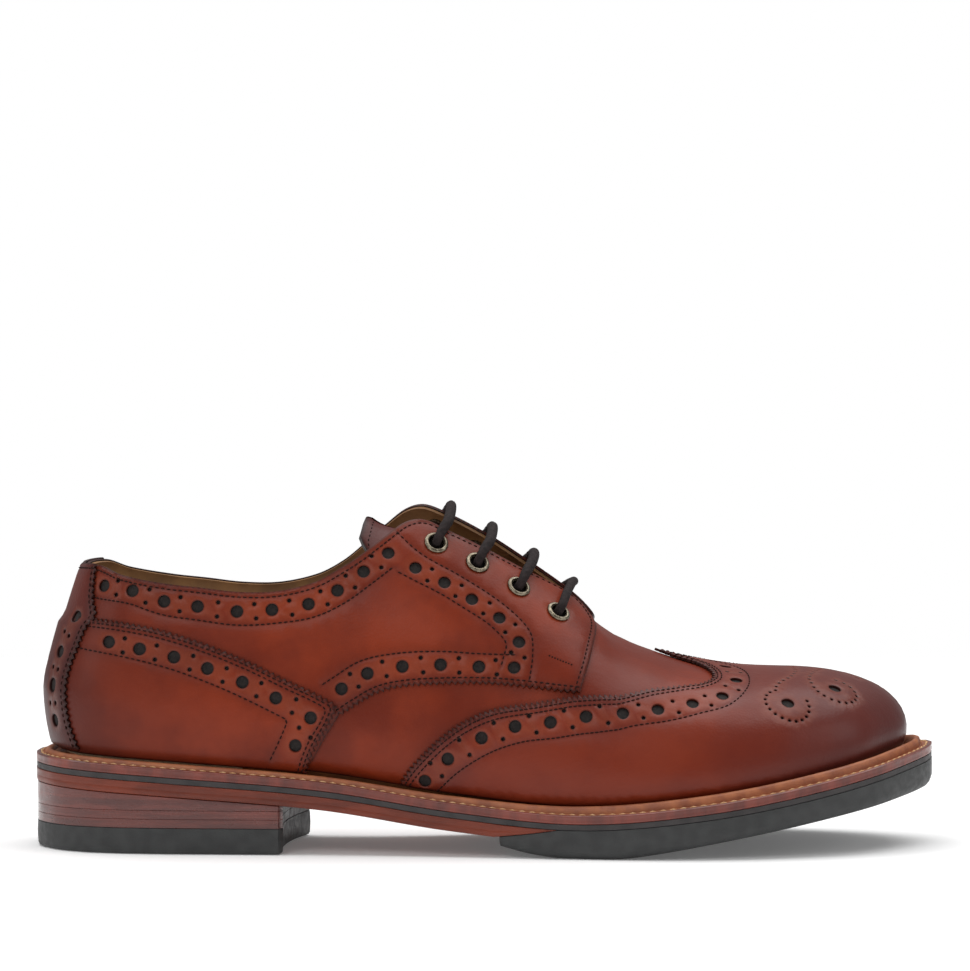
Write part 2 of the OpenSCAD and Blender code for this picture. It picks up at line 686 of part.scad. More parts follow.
outsole_forepart();
midlayer();
waist_layer();
welt();
heel_lift_1();
heel_lift_2();
heel_lift_3();
heel_top_piece();
heel_nails();
insole();
insole_rib();
cork_filler();
shank();
heel_pad();
vamp();
wing_cap();
toe_puff();
vamp_lining();
quarter_lateral();
quarter_medial();
counter_lateral();
counter_medial();
back_strap();
heel_stiffener();
quarter_lining_lateral();
quarter_lining_medial();
tongue();
eyelets_lateral();
eyelets_medial();
lace();
aglets();
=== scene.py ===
import math

import bmesh
import bpy
import numpy as np
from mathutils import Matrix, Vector
from mathutils.geometry import delaunay_2d_cdt
from mathutils.kdtree import KDTree


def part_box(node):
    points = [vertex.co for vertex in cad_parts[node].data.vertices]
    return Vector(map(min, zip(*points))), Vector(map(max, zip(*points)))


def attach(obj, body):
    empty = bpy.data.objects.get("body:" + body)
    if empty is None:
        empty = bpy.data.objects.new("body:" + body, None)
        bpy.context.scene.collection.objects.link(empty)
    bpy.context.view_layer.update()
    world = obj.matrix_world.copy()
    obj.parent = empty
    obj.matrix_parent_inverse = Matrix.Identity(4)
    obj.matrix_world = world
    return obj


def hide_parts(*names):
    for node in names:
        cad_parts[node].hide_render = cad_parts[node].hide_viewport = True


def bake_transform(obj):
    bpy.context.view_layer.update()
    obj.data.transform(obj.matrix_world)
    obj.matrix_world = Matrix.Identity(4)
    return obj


# Looks of a welted full-brogue derby shoe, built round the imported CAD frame.
# Lengths are in millimetres of the shoe, and mesh() turns them into the frame's metres. A point on the
# shoe surface has a side, a station s along the shoe (-150 heel, 150 toe) and a height t (0 sole, 1 ridge),
# as in the CAD. A panel is cut flat in one of two flattened maps of that surface and laid onto it.

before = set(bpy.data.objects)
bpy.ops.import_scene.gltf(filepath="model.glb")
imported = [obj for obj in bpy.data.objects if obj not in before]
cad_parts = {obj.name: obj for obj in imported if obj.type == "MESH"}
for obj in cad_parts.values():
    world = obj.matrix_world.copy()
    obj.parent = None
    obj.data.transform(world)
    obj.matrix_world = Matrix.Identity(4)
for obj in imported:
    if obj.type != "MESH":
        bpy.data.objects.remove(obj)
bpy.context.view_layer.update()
SOLE_LENGTH = 300.0
MM = (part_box("welt")[1].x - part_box("welt")[0].x) / SOLE_LENGTH
LATERAL, MEDIAL = -1, 1
SIDES = {LATERAL: "lateral", MEDIAL: "medial"}
SHOE, TONGUE = "shoe", "tongue"

# ---------------------------------------------------------------- the shoe surface, as in the CAD
TOE = np.array([98.0, 9.0])
HEEL = np.array([-112.0, 2.0])
EDGE = {
    LATERAL: np.array([
        [-150, -150, 3], [-146, -148.5, -9], [-139, -141, -22], [-128, -128, -30.5], [-110, -110, -34.5],
        [-85, -85, -36.5], [-60, -60, -38], [-30, -30, -40.5], [0, 0, -45], [30, 30, -50.5],
        [60, 60, -53.5], [90, 90, -50.5], [113, 113, -42], [130, 130, -31], [141, 141.5, -16],
        [147, 148.2, -3], [150, 150, 9]]),
    MEDIAL: np.array([
        [-150, -150, 3], [-146, -148.5, 15], [-139, -141, 26], [-128, -128, 32.5], [-110, -110, 35],
        [-85, -85, 32], [-60, -60, 28], [-30, -30, 26], [0, 0, 31], [30, 30, 42], [60, 60, 49.5],
        [90, 90, 50], [113, 113, 45], [130, 130, 37.5], [141, 142, 27], [147, 148.4, 18], [150, 150, 9]])}
WELT_TOP = [
    [-150, 31], [-104, 28.1], [-54, 24.1], [-12, 17.8], [30, 14.3], [71, 17.6], [110, 24.3], [150, 33.5]]
TREAD = [
    [0, 5], [6, 3.4], [13, 1.6], [21, 0.3], [26, 0], [44, 0], [55, 1.4], [71, 4.2], [110, 11.6],
    [150, 19.6]]
SEAT_INSET = {
    LATERAL: [
        [-150, 10.2], [-125, 8.5], [-90, 8], [-30, 8], [0, 8.5], [60, 9.5], [113, 10], [150, 10.2]],
    MEDIAL: [
        [-150, 10.2], [-125, 8.5], [-90, 7.5], [-30, 7], [0, 8], [60, 9.5], [113, 10], [150, 10.2]]}
BULGE = {
    LATERAL: [
        [-150, 3.6], [-110, 2.6], [-60, 2.8], [-20, 3.2], [20, 2.2], [60, 1.2], [100, 0.4], [150, 0.2]],
    MEDIAL: [
        [-150, 3.6], [-110, 2.6], [-60, 4.2], [-20, 6], [20, 4], [60, 1.6], [100, 0.4], [150, 0.2]]}
RIDGE_Y = [[-112, 2], [-60, 3], [-20, 5], [20, 7], [50, 8], [98, 9]]
RIDGE_Z = [
    [-150, 138], [-130, 147], [-112, 150], [-80, 143], [-50, 129], [-20, 115], [0, 104], [15, 93.5],
    [28, 83.5], [38, 74.5], [45, 68.5], [57, 63.5], [65, 61], [75, 59], [86, 57.5], [98, 57], [150, 57]]
WIDEST_Z = [[-150, 54], [-112, 50], [-60, 44], [-20, 37], [20, 29], [60, 25.5], [100, 29.5], [150, 37]]
ROUNDNESS = [
    [-150, 1.15], [-130, 1.3], [-112, 1.5], [-60, 1.75], [-20, 1.95], [20, 2], [60, 2.15], [98, 2.3],
    [150, 2.3]]
LOW_PART = 0.2
FOOT_LIFT = 0.8
STEP_S, STEP_T = 0.3, 0.004


def unit(vectors):
    return vectors / np.maximum(np.linalg.norm(vectors, axis=-1), 1e-9)[..., None]


def curve(points, x):
    """Smooth curve through the points (x, y), held level past its ends."""
    p = np.asarray(points, float)
    x = np.asarray(x, float)
    before = np.maximum(np.arange(len(p)) - 1, 0)
    after = np.minimum(np.arange(len(p)) + 1, len(p) - 1)
    slope = (p[after, 1] - p[before, 1]) / (p[after, 0] - p[before, 0])
    k = np.clip(np.searchsorted(p[:, 0], x, side="right") - 1, 0, len(p) - 2)
    h = p[k + 1, 0] - p[k, 0]
    u = np.clip((x - p[k, 0]) / h, 0, 1)
    return ((2 * u**3 - 3 * u * u + 1) * p[k, 1] + (u**3 - 2 * u * u + u) * slope[k] * h
            + (3 * u * u - 2 * u**3) * p[k + 1, 1] + (u**3 - u * u) * slope[k + 1] * h)


def sole_edge(side, s):
    """Point of the sole's edge at station s, seen from above."""
    e = EDGE[side]
    return np.stack([curve(e[:, [0, 1]], s), curve(e[:, [0, 2]], s)], -1)


def ridge_line(x):
    return np.stack([x, curve(RIDGE_Y, x)], -1)


def one_side(side, s, t):
    """Points of the shoe surface on one side."""
    e = sole_edge(side, s)
    c = np.where((s >= TOE[0])[:, None], TOE, np.where((s <= HEEL[0])[:, None], HEEL, ridge_line(e[:, 0])))
    reach = np.linalg.norm(e - c, axis=1)
    direction = (e - c) / reach[:, None]
    foot = reach - curve(SEAT_INSET[side], s)
    foot_z = curve(WELT_TOP, (c + direction * foot[:, None])[:, 0]) + FOOT_LIFT
    bulge, widest, ridge, n = (curve(p, s) for p in (BULGE[side], WIDEST_Z, RIDGE_Z, ROUNDNESS))
    k = np.clip(1 - t / LOW_PART, 0, 1)
    a = np.clip((t - LOW_PART) / (1 - LOW_PART), 0, 1) * math.pi / 2
    low = t < LOW_PART
    r = np.where(low, foot + bulge * (1 - k * k), (foot + bulge) * np.maximum(np.cos(a), 0) ** (2 / n))
    z = np.where(low, widest - (widest - foot_z) * k, widest + (ridge - widest) * np.sin(a) ** (2 / n))
    return np.column_stack([c + direction * r[:, None], z])


def by_side(function, side, s, *rest):
    """Runs a function of one side over arrays that hold both."""
    side = np.broadcast_to(side, np.shape(s))
    out = None
    for one in SIDES:
        m = side == one
        if m.any():
            part = function(one, s[m], *[v[m] for v in rest])
            if out is None:
                out = np.zeros((len(s),) + part.shape[1:])
            out[m] = part
    return out


def surface(side, s, t):
    return by_side(one_side, side, s, t)


def lay(side, s, t, off=0.0):
    """Points lifted off the shoe surface, and the outward normals there."""
    tt = np.minimum(t, 1 - 2 * STEP_T)
    u = surface(side, np.minimum(s + STEP_S, 150), tt) - surface(side, np.maximum(s - STEP_S, -150), tt)
    v = surface(side, s, tt + STEP_T) - surface(side, s, np.maximum(tt - STEP_T, 0))
    n = unit(np.cross(u, v) * -np.broadcast_to(side, np.shape(s))[:, None])
    return surface(side, s, t) + n * np.broadcast_to(off, np.shape(s))[:, None], n


# ---------------------------------------------------------------- flattened maps of the surface
S_GRID = np.linspace(-150, 150, 601)
T_GRID = np.linspace(0, 1, 201)


def lengths(points):
    return np.concatenate([[0], np.cumsum(np.linalg.norm(np.diff(points, axis=0), axis=1))])


def rise_table(side):
    """Length up the surface from the sole, at each station and height of the two grids."""
    ss, tt = np.meshgrid(S_GRID, T_GRID, indexing="ij")
    p = one_side(side, ss.ravel(), tt.ravel()).reshape(len(S_GRID), len(T_GRID), 3)
    steps = np.linalg.norm(np.diff(p, axis=1), axis=2)
    return np.concatenate([np.zeros((len(S_GRID), 1)), np.cumsum(steps, axis=1)], axis=1)


def fan_angle(side, s):
    d = sole_edge(side, s) - TOE
    return np.arctan2(np.abs(d[:, 1]), d[:, 0])


RISE = {one: rise_table(one) for one in SIDES}
ALONG = {one: lengths(one_side(one, S_GRID, np.full(len(S_GRID), LOW_PART))) for one in SIDES}


def rise(side, s, t):
    """Length up the surface at station s, from the sole to height t."""
    i = np.clip((s + 150) / 300 * (len(S_GRID) - 1), 0, len(S_GRID) - 1.001)
    j = np.clip(t * (len(T_GRID) - 1), 0, len(T_GRID) - 1.001)
    i0, j0 = i.astype(int), j.astype(int)
    u, v, table = i - i0, j - j0, RISE[side]
    return ((table[i0, j0] * (1 - v) + table[i0, j0 + 1] * v) * (1 - u)
            + (table[i0 + 1, j0] * (1 - v) + table[i0 + 1, j0 + 1] * v) * u)


def height_at(side, s, length):
    """The height t at which the rise is length."""
    lo, hi = np.zeros(len(s)), np.ones(len(s))
    for _ in range(16):
        mid = (lo + hi) / 2
        under = rise(side, s, mid) < length
        lo, hi = np.where(under, mid, lo), np.where(under, hi, mid)
    return (lo + hi) / 2


class HeelMap:
    """X runs round the shoe from the back seam, the lateral side to the right; Y runs up from the sole."""

    @staticmethod
    def flat(side, s, t):
        return np.column_stack([-side * np.interp(s, S_GRID, ALONG[side]), rise(side, s, t)])

    @staticmethod
    def shoe(xy):
        side = np.where(xy[:, 0] >= 0, LATERAL, MEDIAL)
        s = by_side(lambda one, x: np.interp(np.abs(x), ALONG[one], S_GRID), side, xy[:, 0])
        return side, s, by_side(height_at, side, s, xy[:, 1])


class ToeMap:
    """Seen from above: each column is unrolled outwards from the ridge, or from the toe centre before it."""

    @staticmethod
    def flat(side, s, t):
        down = rise(side, s, np.ones(len(s))) - rise(side, s, t)
        d = unit(sole_edge(side, s) - TOE)
        fan = (s >= TOE[0])[:, None]
        return np.where(fan, TOE + d * down[:, None], ridge_line(s) + np.column_stack([0 * s, side * down]))

    @staticmethod
    def shoe(xy):
        fan = xy[:, 0] > TOE[0]
        start = np.where(fan[:, None], TOE, ridge_line(xy[:, 0]))
        v = xy - start
        side = np.where(v[:, 1] < 0, LATERAL, MEDIAL)
        front = S_GRID[S_GRID >= TOE[0]]

        def station(one, x, d, fanned):
            angle = np.arctan2(np.abs(d[:, 1]), d[:, 0])
            around = np.interp(-angle, -fan_angle(one, front), front)
            return np.where(fanned, around, x)

        s = by_side(station, side, xy[:, 0], v, fan)
        down = np.linalg.norm(v, axis=1)

        def height(one, st, length):
            return height_at(one, st, rise(one, st, np.ones(len(st))) - length)

        return side, s, by_side(height, side, s, down)


# ---------------------------------------------------------------- flat drafting
def resample(path, step, closed=False):
    """Even steps along a flat or solid path."""
    p = np.vstack([path, path[:1]]) if closed else np.asarray(path, float)
    u = lengths(p)
    n = max(int(round(u[-1] / step)), 2)
    v = np.linspace(0, u[-1], n + 1)[: n if closed else None]
    return np.column_stack([np.interp(v, u, column) for column in p.T])


def smooth(points, step=1.0):
    """Smooth path through flat points, at an even step."""
    p = np.asarray(points, float)
    u = lengths(p)
    v = np.linspace(0, u[-1], max(int(u[-1] / 0.4), 4))
    return resample(np.column_stack([curve(np.column_stack([u, p[:, i]]), v) for i in range(2)]), step)


def draft(flat_map, side, points, step=1.0):
    """Smooth flat path through surface points (s, t) of one side."""
    p = np.asarray(points, float)
    return smooth(flat_map.flat(side, p[:, 0], p[:, 1]), step)


def side_vectors(path):
    """Unit vectors to the left of a flat path."""
    d = unit(np.gradient(path, axis=0))
    return np.column_stack([-d[:, 1], d[:, 0]])


def tree_of(points):
    tree = KDTree(len(points))
    for i, p in enumerate(points):
        tree.insert(p if len(p) == 3 else (*p, 0), i)
    tree.balance()
    return tree


def nearest(points, others):
    """Distance from each flat point to the closest of the others."""
    if len(others) == 0:
        return np.full(len(points), 1e3)
    tree = tree_of(others)
    return np.array([tree.find((p[0], p[1], 0))[2] for p in points])


def beside(path, distance):
    """Path at a distance to the left of another, without the loops that tight bends would give."""
    moved = resample(path, 0.8)
    moved = moved + side_vectors(moved) * distance
    return moved[nearest(moved, resample(path, 0.4)) > abs(distance) * 0.96]


def gimped(path, pitch=2.1, depth=1.2):
    """Saw-toothed path, as pinking shears leave it."""
    p = resample(path, pitch / 4)
    wave = np.tile([0.5, 0.0, -0.5, 0.0], len(p) // 4 + 1)[: len(p)] * depth
    wave[0] = wave[-1] = 0
    return p + side_vectors(p) * wave[:, None]


def inside(points, loop):
    """Even-odd test of many points against one closed loop."""
    a, b = loop, np.roll(loop, -1, axis=0)
    out = np.zeros(len(points), bool)
    for i in range(0, len(points), 2000):
        p = points[i:i + 2000]
        spans = (a[None, :, 1] > p[:, 1:2]) != (b[None, :, 1] > p[:, 1:2])
        dy = np.where(np.abs(b[:, 1] - a[:, 1]) < 1e-12, 1e-12, b[:, 1] - a[:, 1])
        x = a[None, :, 0] + (p[:, 1:2] - a[None, :, 1]) / dy * (b[:, 0] - a[:, 0])
        out[i:i + 2000] = (spans & (p[:, 0:1] < x)).sum(1) % 2 == 1
    return out


def inside_any(points, loops):
    found = np.zeros(len(points), bool)
    for loop in loops:
        lo, hi = loop.min(0), loop.max(0)
        near = np.flatnonzero(((points >= lo) & (points <= hi)).all(1))
        if len(near):
            found[near] |= inside(points[near], loop)
    return found


def hexagons(lo, hi, step):
    """Flat points of a hexagon grid."""
    rows = np.arange(lo[1], hi[1], step * 0.866)
    columns = np.arange(lo[0], hi[0], step)
    return np.array([(x + j % 2 * step / 2, y) for j, y in enumerate(rows) for x in columns])


def join(*paths):
    """One closed loop from paths that follow each other, without doubled points."""
    p = np.vstack(paths)
    keep = np.linalg.norm(p - np.roll(p, 1, axis=0), axis=1) > 0.12
    p = p[keep]
    area = np.sum(p[:, 0] * np.roll(p[:, 1], -1) - np.roll(p[:, 0], -1) * p[:, 1])
    return p if area > 0 else p[::-1]


# ---------------------------------------------------------------- meshes
def mesh(name, points, faces, finish, body=SHOE, replaces=(), values=None, marks=None, slot=None, angle=38):
    """A piece of the shoe from points in millimetres. marks gives each face its material's number."""
    data = bpy.data.meshes.new(name)
    data.from_pydata([tuple(p) for p in np.asarray(points) * MM], [], [tuple(map(int, f)) for f in faces])
    for key, value in (values or {}).items():
        data.attributes.new(key, "FLOAT", "POINT").data.foreach_set("value", np.asarray(value, np.float32))
    for m in finish if isinstance(finish, (list, tuple)) else [finish]:
        data.materials.append(m)
    if marks is not None:
        data.polygons.foreach_set("material_index", np.asarray(marks, np.int32))
    data.validate()
    data.polygons.foreach_set("use_smooth", [True] * len(data.polygons))
    data.set_sharp_from_angle(angle=math.radians(angle))
    data.update()
    piece = bpy.data.objects.new(name, data)
    bpy.context.scene.collection.objects.link(piece)
    if body:
        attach(piece, body)
    if replaces:
        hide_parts(*replaces)
    return piece


def tube_faces(rings, around, start=0, closed=False):
    """Quads between rings of points that follow each other; closed joins the last ring to the first."""
    faces = []
    for j in range(rings if closed else rings - 1):
        a, b = start + j * around, start + (j + 1) % rings * around
        faces += [[a + i, a + (i + 1) % around, b + (i + 1) % around, b + i] for i in range(around)]
    return faces


def triangulate(points, loops):
    """Constrained triangles over flat points, whose first rows are the given closed loops in order."""
    edges, start = [], 0
    for loop in loops:
        n = len(loop)
        edges += [(start + i, start + (i + 1) % n) for i in range(n)]
        start += n
    made = delaunay_2d_cdt([Vector(p) for p in points], edges, [], 0, 1e-5)
    xy = np.array([tuple(v) for v in made[0]])
    origin = np.array([o[0] if o else -1 for o in made[3]])
    return xy, np.array(made[2]), origin


def circle_on(flat_map, centre, radius, count):
    """Flat outline of a hole that is round once it lies on the shoe."""
    c = np.asarray(centre, float)
    h = 0.3
    around = np.array([c + [h, 0], c - [h, 0], c + [0, h], c - [0, h]])
    p = surface(*flat_map.shoe(around))
    j = np.column_stack([(p[0] - p[1]) / (2 * h), (p[2] - p[3]) / (2 * h)])
    values, vectors = np.linalg.eigh(j.T @ j)
    values = np.clip(values, 0.45, 2.4)
    to_round = vectors @ np.diag(values**-0.5) @ vectors.T
    a = np.linspace(0, 2 * math.pi, count, endpoint=False)
    return c + np.column_stack([np.cos(a), np.sin(a)]) @ to_round.T * radius


GRID = 2.7
BIG_HOLE, SMALL_HOLE, FINE_HOLE, EYELET_HOLE = 2.05, 0.68, 0.5, 3.0
EDGE_DROP, LIP_DROP, PIT_FLOOR = 0.45, 0.22, 0.25
FURROW_DEPTH, FURROW_WIDTH, FURROW_ROWS = 0.3, 0.6, (-0.75, 0, 0.75)
STITCH_SINK = 0.12
FAR = 9.0


def spread(points, others, gap):
    """The points that keep the gap to all the others."""
    return points[nearest(points, others) > gap] if len(points) else points


def steiner(flat_map, outline, holes, furrows):
    """Inner points of a panel: rings beside its edges and holes, rows along its furrows, and a grid."""
    rim = resample(outline, 1.3, closed=True)
    ring = rim + side_vectors(np.vstack([rim[-1:], rim, rim[:1]]))[1:-1] * 0.95
    ring = ring[inside(ring, outline)]
    ring = spread(ring, outline, 0.5)
    lips = [circle_on(flat_map, c, r + 0.45, n) for c, r, n in holes]
    loops = [circle_on(flat_map, c, r, n) for c, r, n in holes]
    lines = [resample(f, 1.6) for f in furrows if len(f) > 3]
    rows = [f + side_vectors(f) * d for f in lines for d in FURROW_ROWS]
    fixed = np.vstack([outline, *loops, ring, *lips])
    rows = np.vstack([np.zeros((0, 2)), *rows])
    rows = spread(rows[inside(rows, outline) & ~inside_any(rows, loops)], fixed, 0.45)
    fixed = np.vstack([fixed, rows])
    grid = hexagons(outline.min(0), outline.max(0), GRID)
    grid = grid[inside(grid, outline) & ~inside_any(grid, loops)]
    return loops, np.vstack([ring, *lips, rows, spread(grid, fixed, GRID * 0.5)])


def panel(name, flat_map, outline, offsets, finish, holes, furrows, shape, **facts):
    """A leather panel with thickness, holes punched down to a dark underlay, and furrows under stitching.

    shape turns the flat points and the two offsets into new offsets.
    """
    holes = [(c, r, n) for c, r, n in holes if inside(np.array([c]), outline)[0]]
    loops, inner = steiner(flat_map, outline, holes, furrows)
    xy, tris, origin = triangulate(np.vstack([outline, *loops, inner]), [outline, *loops])
    centre = xy[tris].mean(1)
    keep = inside(centre, outline)
    tris, centre = tris[keep], centre[keep]
    pit = inside_any(centre, loops)
    n, outer_n = len(xy), len(outline)
    on_rim = (origin >= 0) & (origin < outer_n)
    on_lip = (origin >= outer_n) & (origin < outer_n + sum(map(len, loops)))
    far_edge = nearest(xy, resample(outline, 0.6, closed=True))
    far_hole = nearest(xy, np.vstack(loops)) if loops else np.full(n, FAR)
    seams = [resample(f, 0.5) for f in furrows if len(f) > 3]
    far_seam = nearest(xy, np.vstack(seams)) if seams else np.full(n, FAR)
    furrow = FURROW_DEPTH * np.exp(-((far_seam / FURROW_WIDTH) ** 2)) * ~on_rim
    high = offsets[1] - on_rim * EDGE_DROP - on_lip * LIP_DROP - furrow
    low, high = shape(xy, np.full(n, float(offsets[0])), high)
    floor = low + PIT_FLOOR
    place = flat_map.shoe(xy)
    points = np.vstack([lay(*place, off)[0] for off in (high, low, floor)])
    faces = [*tris[~pit], *(tris[:, ::-1] + n), *(tris[pit] + 2 * n)]
    marks = [0] * int((~pit).sum()) + [1] * len(tris) + [1] * int(pit.sum())
    walls = rims(tris[~pit], on_lip, n)
    faces += walls
    marks += [0] * len(walls)
    # The edge share darkens cut edges and hole rims: edge dye together with painted shade.
    dark = np.maximum(np.exp(-far_edge / 0.7), 0.6 * np.exp(-far_hole / 0.2))
    # Painted highlight: a paler ring just round each hole, where its bevel would catch the light.
    rim_highlight = np.exp(-(((far_hole - 0.45) / 0.3) ** 2))
    values = {
        "edge": np.concatenate([dark, dark, np.ones(n)]), "rim_highlight": np.tile(rim_highlight, 3),
        "seam": np.tile(np.exp(-far_seam / 1.0), 3)}
    used = np.unique(np.concatenate([np.ravel(f) for f in faces]))
    renumber = np.full(3 * n, -1)
    renumber[used] = np.arange(len(used))
    faces = [[renumber[i] for i in f] for f in faces]
    values = {k: v[used] for k, v in values.items()}
    mesh(name, points[used], faces, finish, values=values, marks=marks, **facts)


def rims(tris, on_lip, n):
    """Walls down from the top layer's open edges: to the lower layer outside, to the floor in a hole."""
    edges = dict.fromkeys(e for a, b, c in tris for e in ((a, b), (b, c), (c, a)))
    walls = []
    for a, b in edges:
        if (b, a) not in edges:
            drop = 2 * n if on_lip[a] and on_lip[b] else n
            walls += [[a, a + drop, b + drop], [a, b + drop, b]]
    return walls


def ellipsoids(name, centres, tangents, normals, length, radius, finish, dip=0.25, **facts):
    """Many small stitches in one mesh, each a fat short thread that dives in at both ends."""
    sides, cuts = 5, [(-1.0, 0.0), (-0.72, 0.75), (0.0, 1.0), (0.72, 0.75), (1.0, 0.0)]
    points, faces = [], []
    across = np.cross(normals, tangents)
    for c, u, v, w in zip(centres, tangents, across, normals):
        start = len(points)
        for along, fat in cuts:
            middle = c + u * along * length / 2 - w * dip * along * along
            turns = [0] if fat == 0 else range(sides)
            for k in turns:
                a = 2 * math.pi * k / sides
                points.append(middle + (v * math.cos(a) + w * math.sin(a)) * radius * fat)
        first, last = start + 1, start + 1 + sides * (len(cuts) - 2)
        for k in range(sides):
            m = (k + 1) % sides
            faces += [[start, first + m, first + k], [last, last - sides + k, last - sides + m]]
        faces += tube_faces(len(cuts) - 2, sides, first)
    mesh(name, points, faces, finish, angle=180, **facts)


def stitching(name, flat_map, rows, off, pitch=1.95, length=1.5, radius=0.27, **facts):
    """Stitches along flat paths on a panel whose outside is off: a number, or a function of the path."""
    centres, tangents, normals = [], [], []
    for row in rows:
        if len(row) < 4:
            continue
        p = resample(row, pitch)
        p = p[:-1] + np.diff(p, axis=0) / 2
        d = unit(np.gradient(p, axis=0))
        height = off(p) if callable(off) else off
        c, n = lay(*flat_map.shoe(p), height)
        q = lay(*flat_map.shoe(p + d * 0.2), height)[0] - c
        centres.append(c - n * STITCH_SINK)
        tangents.append(unit(q - n * np.sum(q * n, axis=1)[:, None]))
        normals.append(n)
    ellipsoids(name, *map(np.vstack, (centres, tangents, normals)), length, radius, thread, **facts)


# ---------------------------------------------------------------- materials
def node(tree, kind, settings=None, **inputs):
    """Adds a shader node. An input given as a socket is linked, and as a value is set."""
    made = tree.nodes.new("ShaderNode" + kind)
    for key, value in (settings or {}).items():
        setattr(made, key, value)
    for key, value in inputs.items():
        numbered = key[0] == "i" and key[1:].isdigit()
        socket = made.inputs[int(key[1:]) if numbered else key.replace("_", " ")]
        if isinstance(value, bpy.types.NodeSocket):
            tree.links.new(value, socket)
        else:
            socket.default_value = value
    return made


def colour(text):
    """Linear colour from an sRGB hex triple."""
    parts = [int(text[i:i + 2], 16) / 255 for i in (0, 2, 4)]
    return [*[c / 12.92 if c <= 0.04045 else ((c + 0.055) / 1.055) ** 2.4 for c in parts], 1.0]


def new_material(name, **constants):
    made = bpy.data.materials.new(name)
    made.use_nodes = True
    shader = made.node_tree.nodes["Principled BSDF"]
    for key, value in constants.items():
        shader.inputs[key.replace("_", " ")].default_value = value
    return made, made.node_tree, shader


def mix(tree, amount, a, b):
    """Colour between a and b."""
    return node(tree, "Mix", {"data_type": "RGBA"}, i0=amount, i6=a, i7=b).outputs[2]


def spread_of(tree, value, low, high, to_low=0.0, to_high=1.0):
    """Smooth step of a value from low..high to to_low..to_high."""
    return node(tree, "MapRange", {"interpolation_type": "SMOOTHSTEP"}, Value=value,
                From_Min=low, From_Max=high, To_Min=to_low, To_Max=to_high).outputs[0]


def noise(tree, where, scale, detail=3.0, rough=0.5):
    return node(tree, "TexNoise", Vector=where, Scale=scale, Detail=detail, Roughness=rough).outputs[0]


def bumped(tree, height, strength, distance, under=None):
    inputs = {"Height": height, "Strength": strength, "Distance": distance}
    if under is not None:
        inputs["Normal"] = under
    return node(tree, "Bump", **inputs).outputs[0]


def math_node(tree, operation, a, b=0.0):
    return node(tree, "Math", {"operation": operation}, i0=a, i1=b).outputs[0]


def scaled(tree, value, factor):
    return math_node(tree, "MULTIPLY", value, factor)


def painted(tree, name):
    """One of the shares that panel() keeps on each point."""
    return node(tree, "Attribute", {"attribute_name": name}).outputs["Fac"]


# The first colour darkens cut edges with dye and painted shade; the second is a painted highlight round the
# holes.
EDGE_DYE_AND_SHADE, RIM_HIGHLIGHT = "1e0e0b", "b0654a"


def leather(name, light, mid, dark, burnish, grain=0.16, rough=0.4, coat=0.07, sheen=0.16):
    """Polished calf: blotchy dye, darker toe, heel and seams, edges darkened by dye and painted shade, a
    painted highlight round the holes, fine pores and creases.
    """
    made, tree, shader = new_material(name, Coat_Weight=coat, Coat_Roughness=0.24, Specular_IOR_Level=sheen)
    where = node(tree, "TexCoord").outputs["Object"]
    at = node(tree, "SeparateXYZ", Vector=where)
    blotch = spread_of(tree, noise(tree, where, 26, 4, 0.55), 0.36, 0.64)
    cloud = spread_of(tree, noise(tree, where, 9, 2), 0.4, 0.62)
    base = mix(tree, blotch, colour(mid), colour(light))
    base = mix(tree, scaled(tree, cloud, 0.5), base, colour(mid))
    toe = spread_of(tree, at.outputs[0], 0.062, 0.14)
    heel = spread_of(tree, at.outputs[0], -0.075, -0.152)
    ends = scaled(tree, math_node(tree, "MAXIMUM", toe, heel), burnish)
    wobble = spread_of(tree, noise(tree, where, 16, 3), 0.3, 0.7, 0.75, 1.1)
    base = mix(tree, scaled(tree, ends, wobble), base, colour(dark))
    base = mix(tree, scaled(tree, painted(tree, "seam"), 0.45), base, colour(dark))
    # Painted highlight: a paler ring round each hole.
    base = mix(tree, scaled(tree, painted(tree, "rim_highlight"), 0.12), base, colour(RIM_HIGHLIGHT))
    # Cut edges and hole rims darken with edge dye and painted shade.
    base = mix(tree, math_node(tree, "POWER", painted(tree, "edge"), 1.1), base, colour(EDGE_DYE_AND_SHADE))
    pores = node(tree, "TexVoronoi", Vector=where, Scale=1150.0, Randomness=1.0).outputs["Distance"]
    fine = noise(tree, where, 1900, 2)
    crease = noise(tree, node(tree, "Mapping", Vector=where, Scale=(150, 420, 260)).outputs[0], 1.0, 4, 0.6)
    tree.links.new(base, shader.inputs["Base Color"])
    shine = spread_of(tree, noise(tree, where, 60, 4), 0.3, 0.7, rough - 0.06, rough + 0.08)
    tree.links.new(shine, shader.inputs["Roughness"])
    bump = bumped(tree, crease, grain * 1.6, 0.0004)
    bump = bumped(tree, pores, grain, 0.00022, bump)
    bump = bumped(tree, fine, grain * 0.6, 0.0001, bump)
    tree.links.new(bump, shader.inputs["Normal"])
    return made


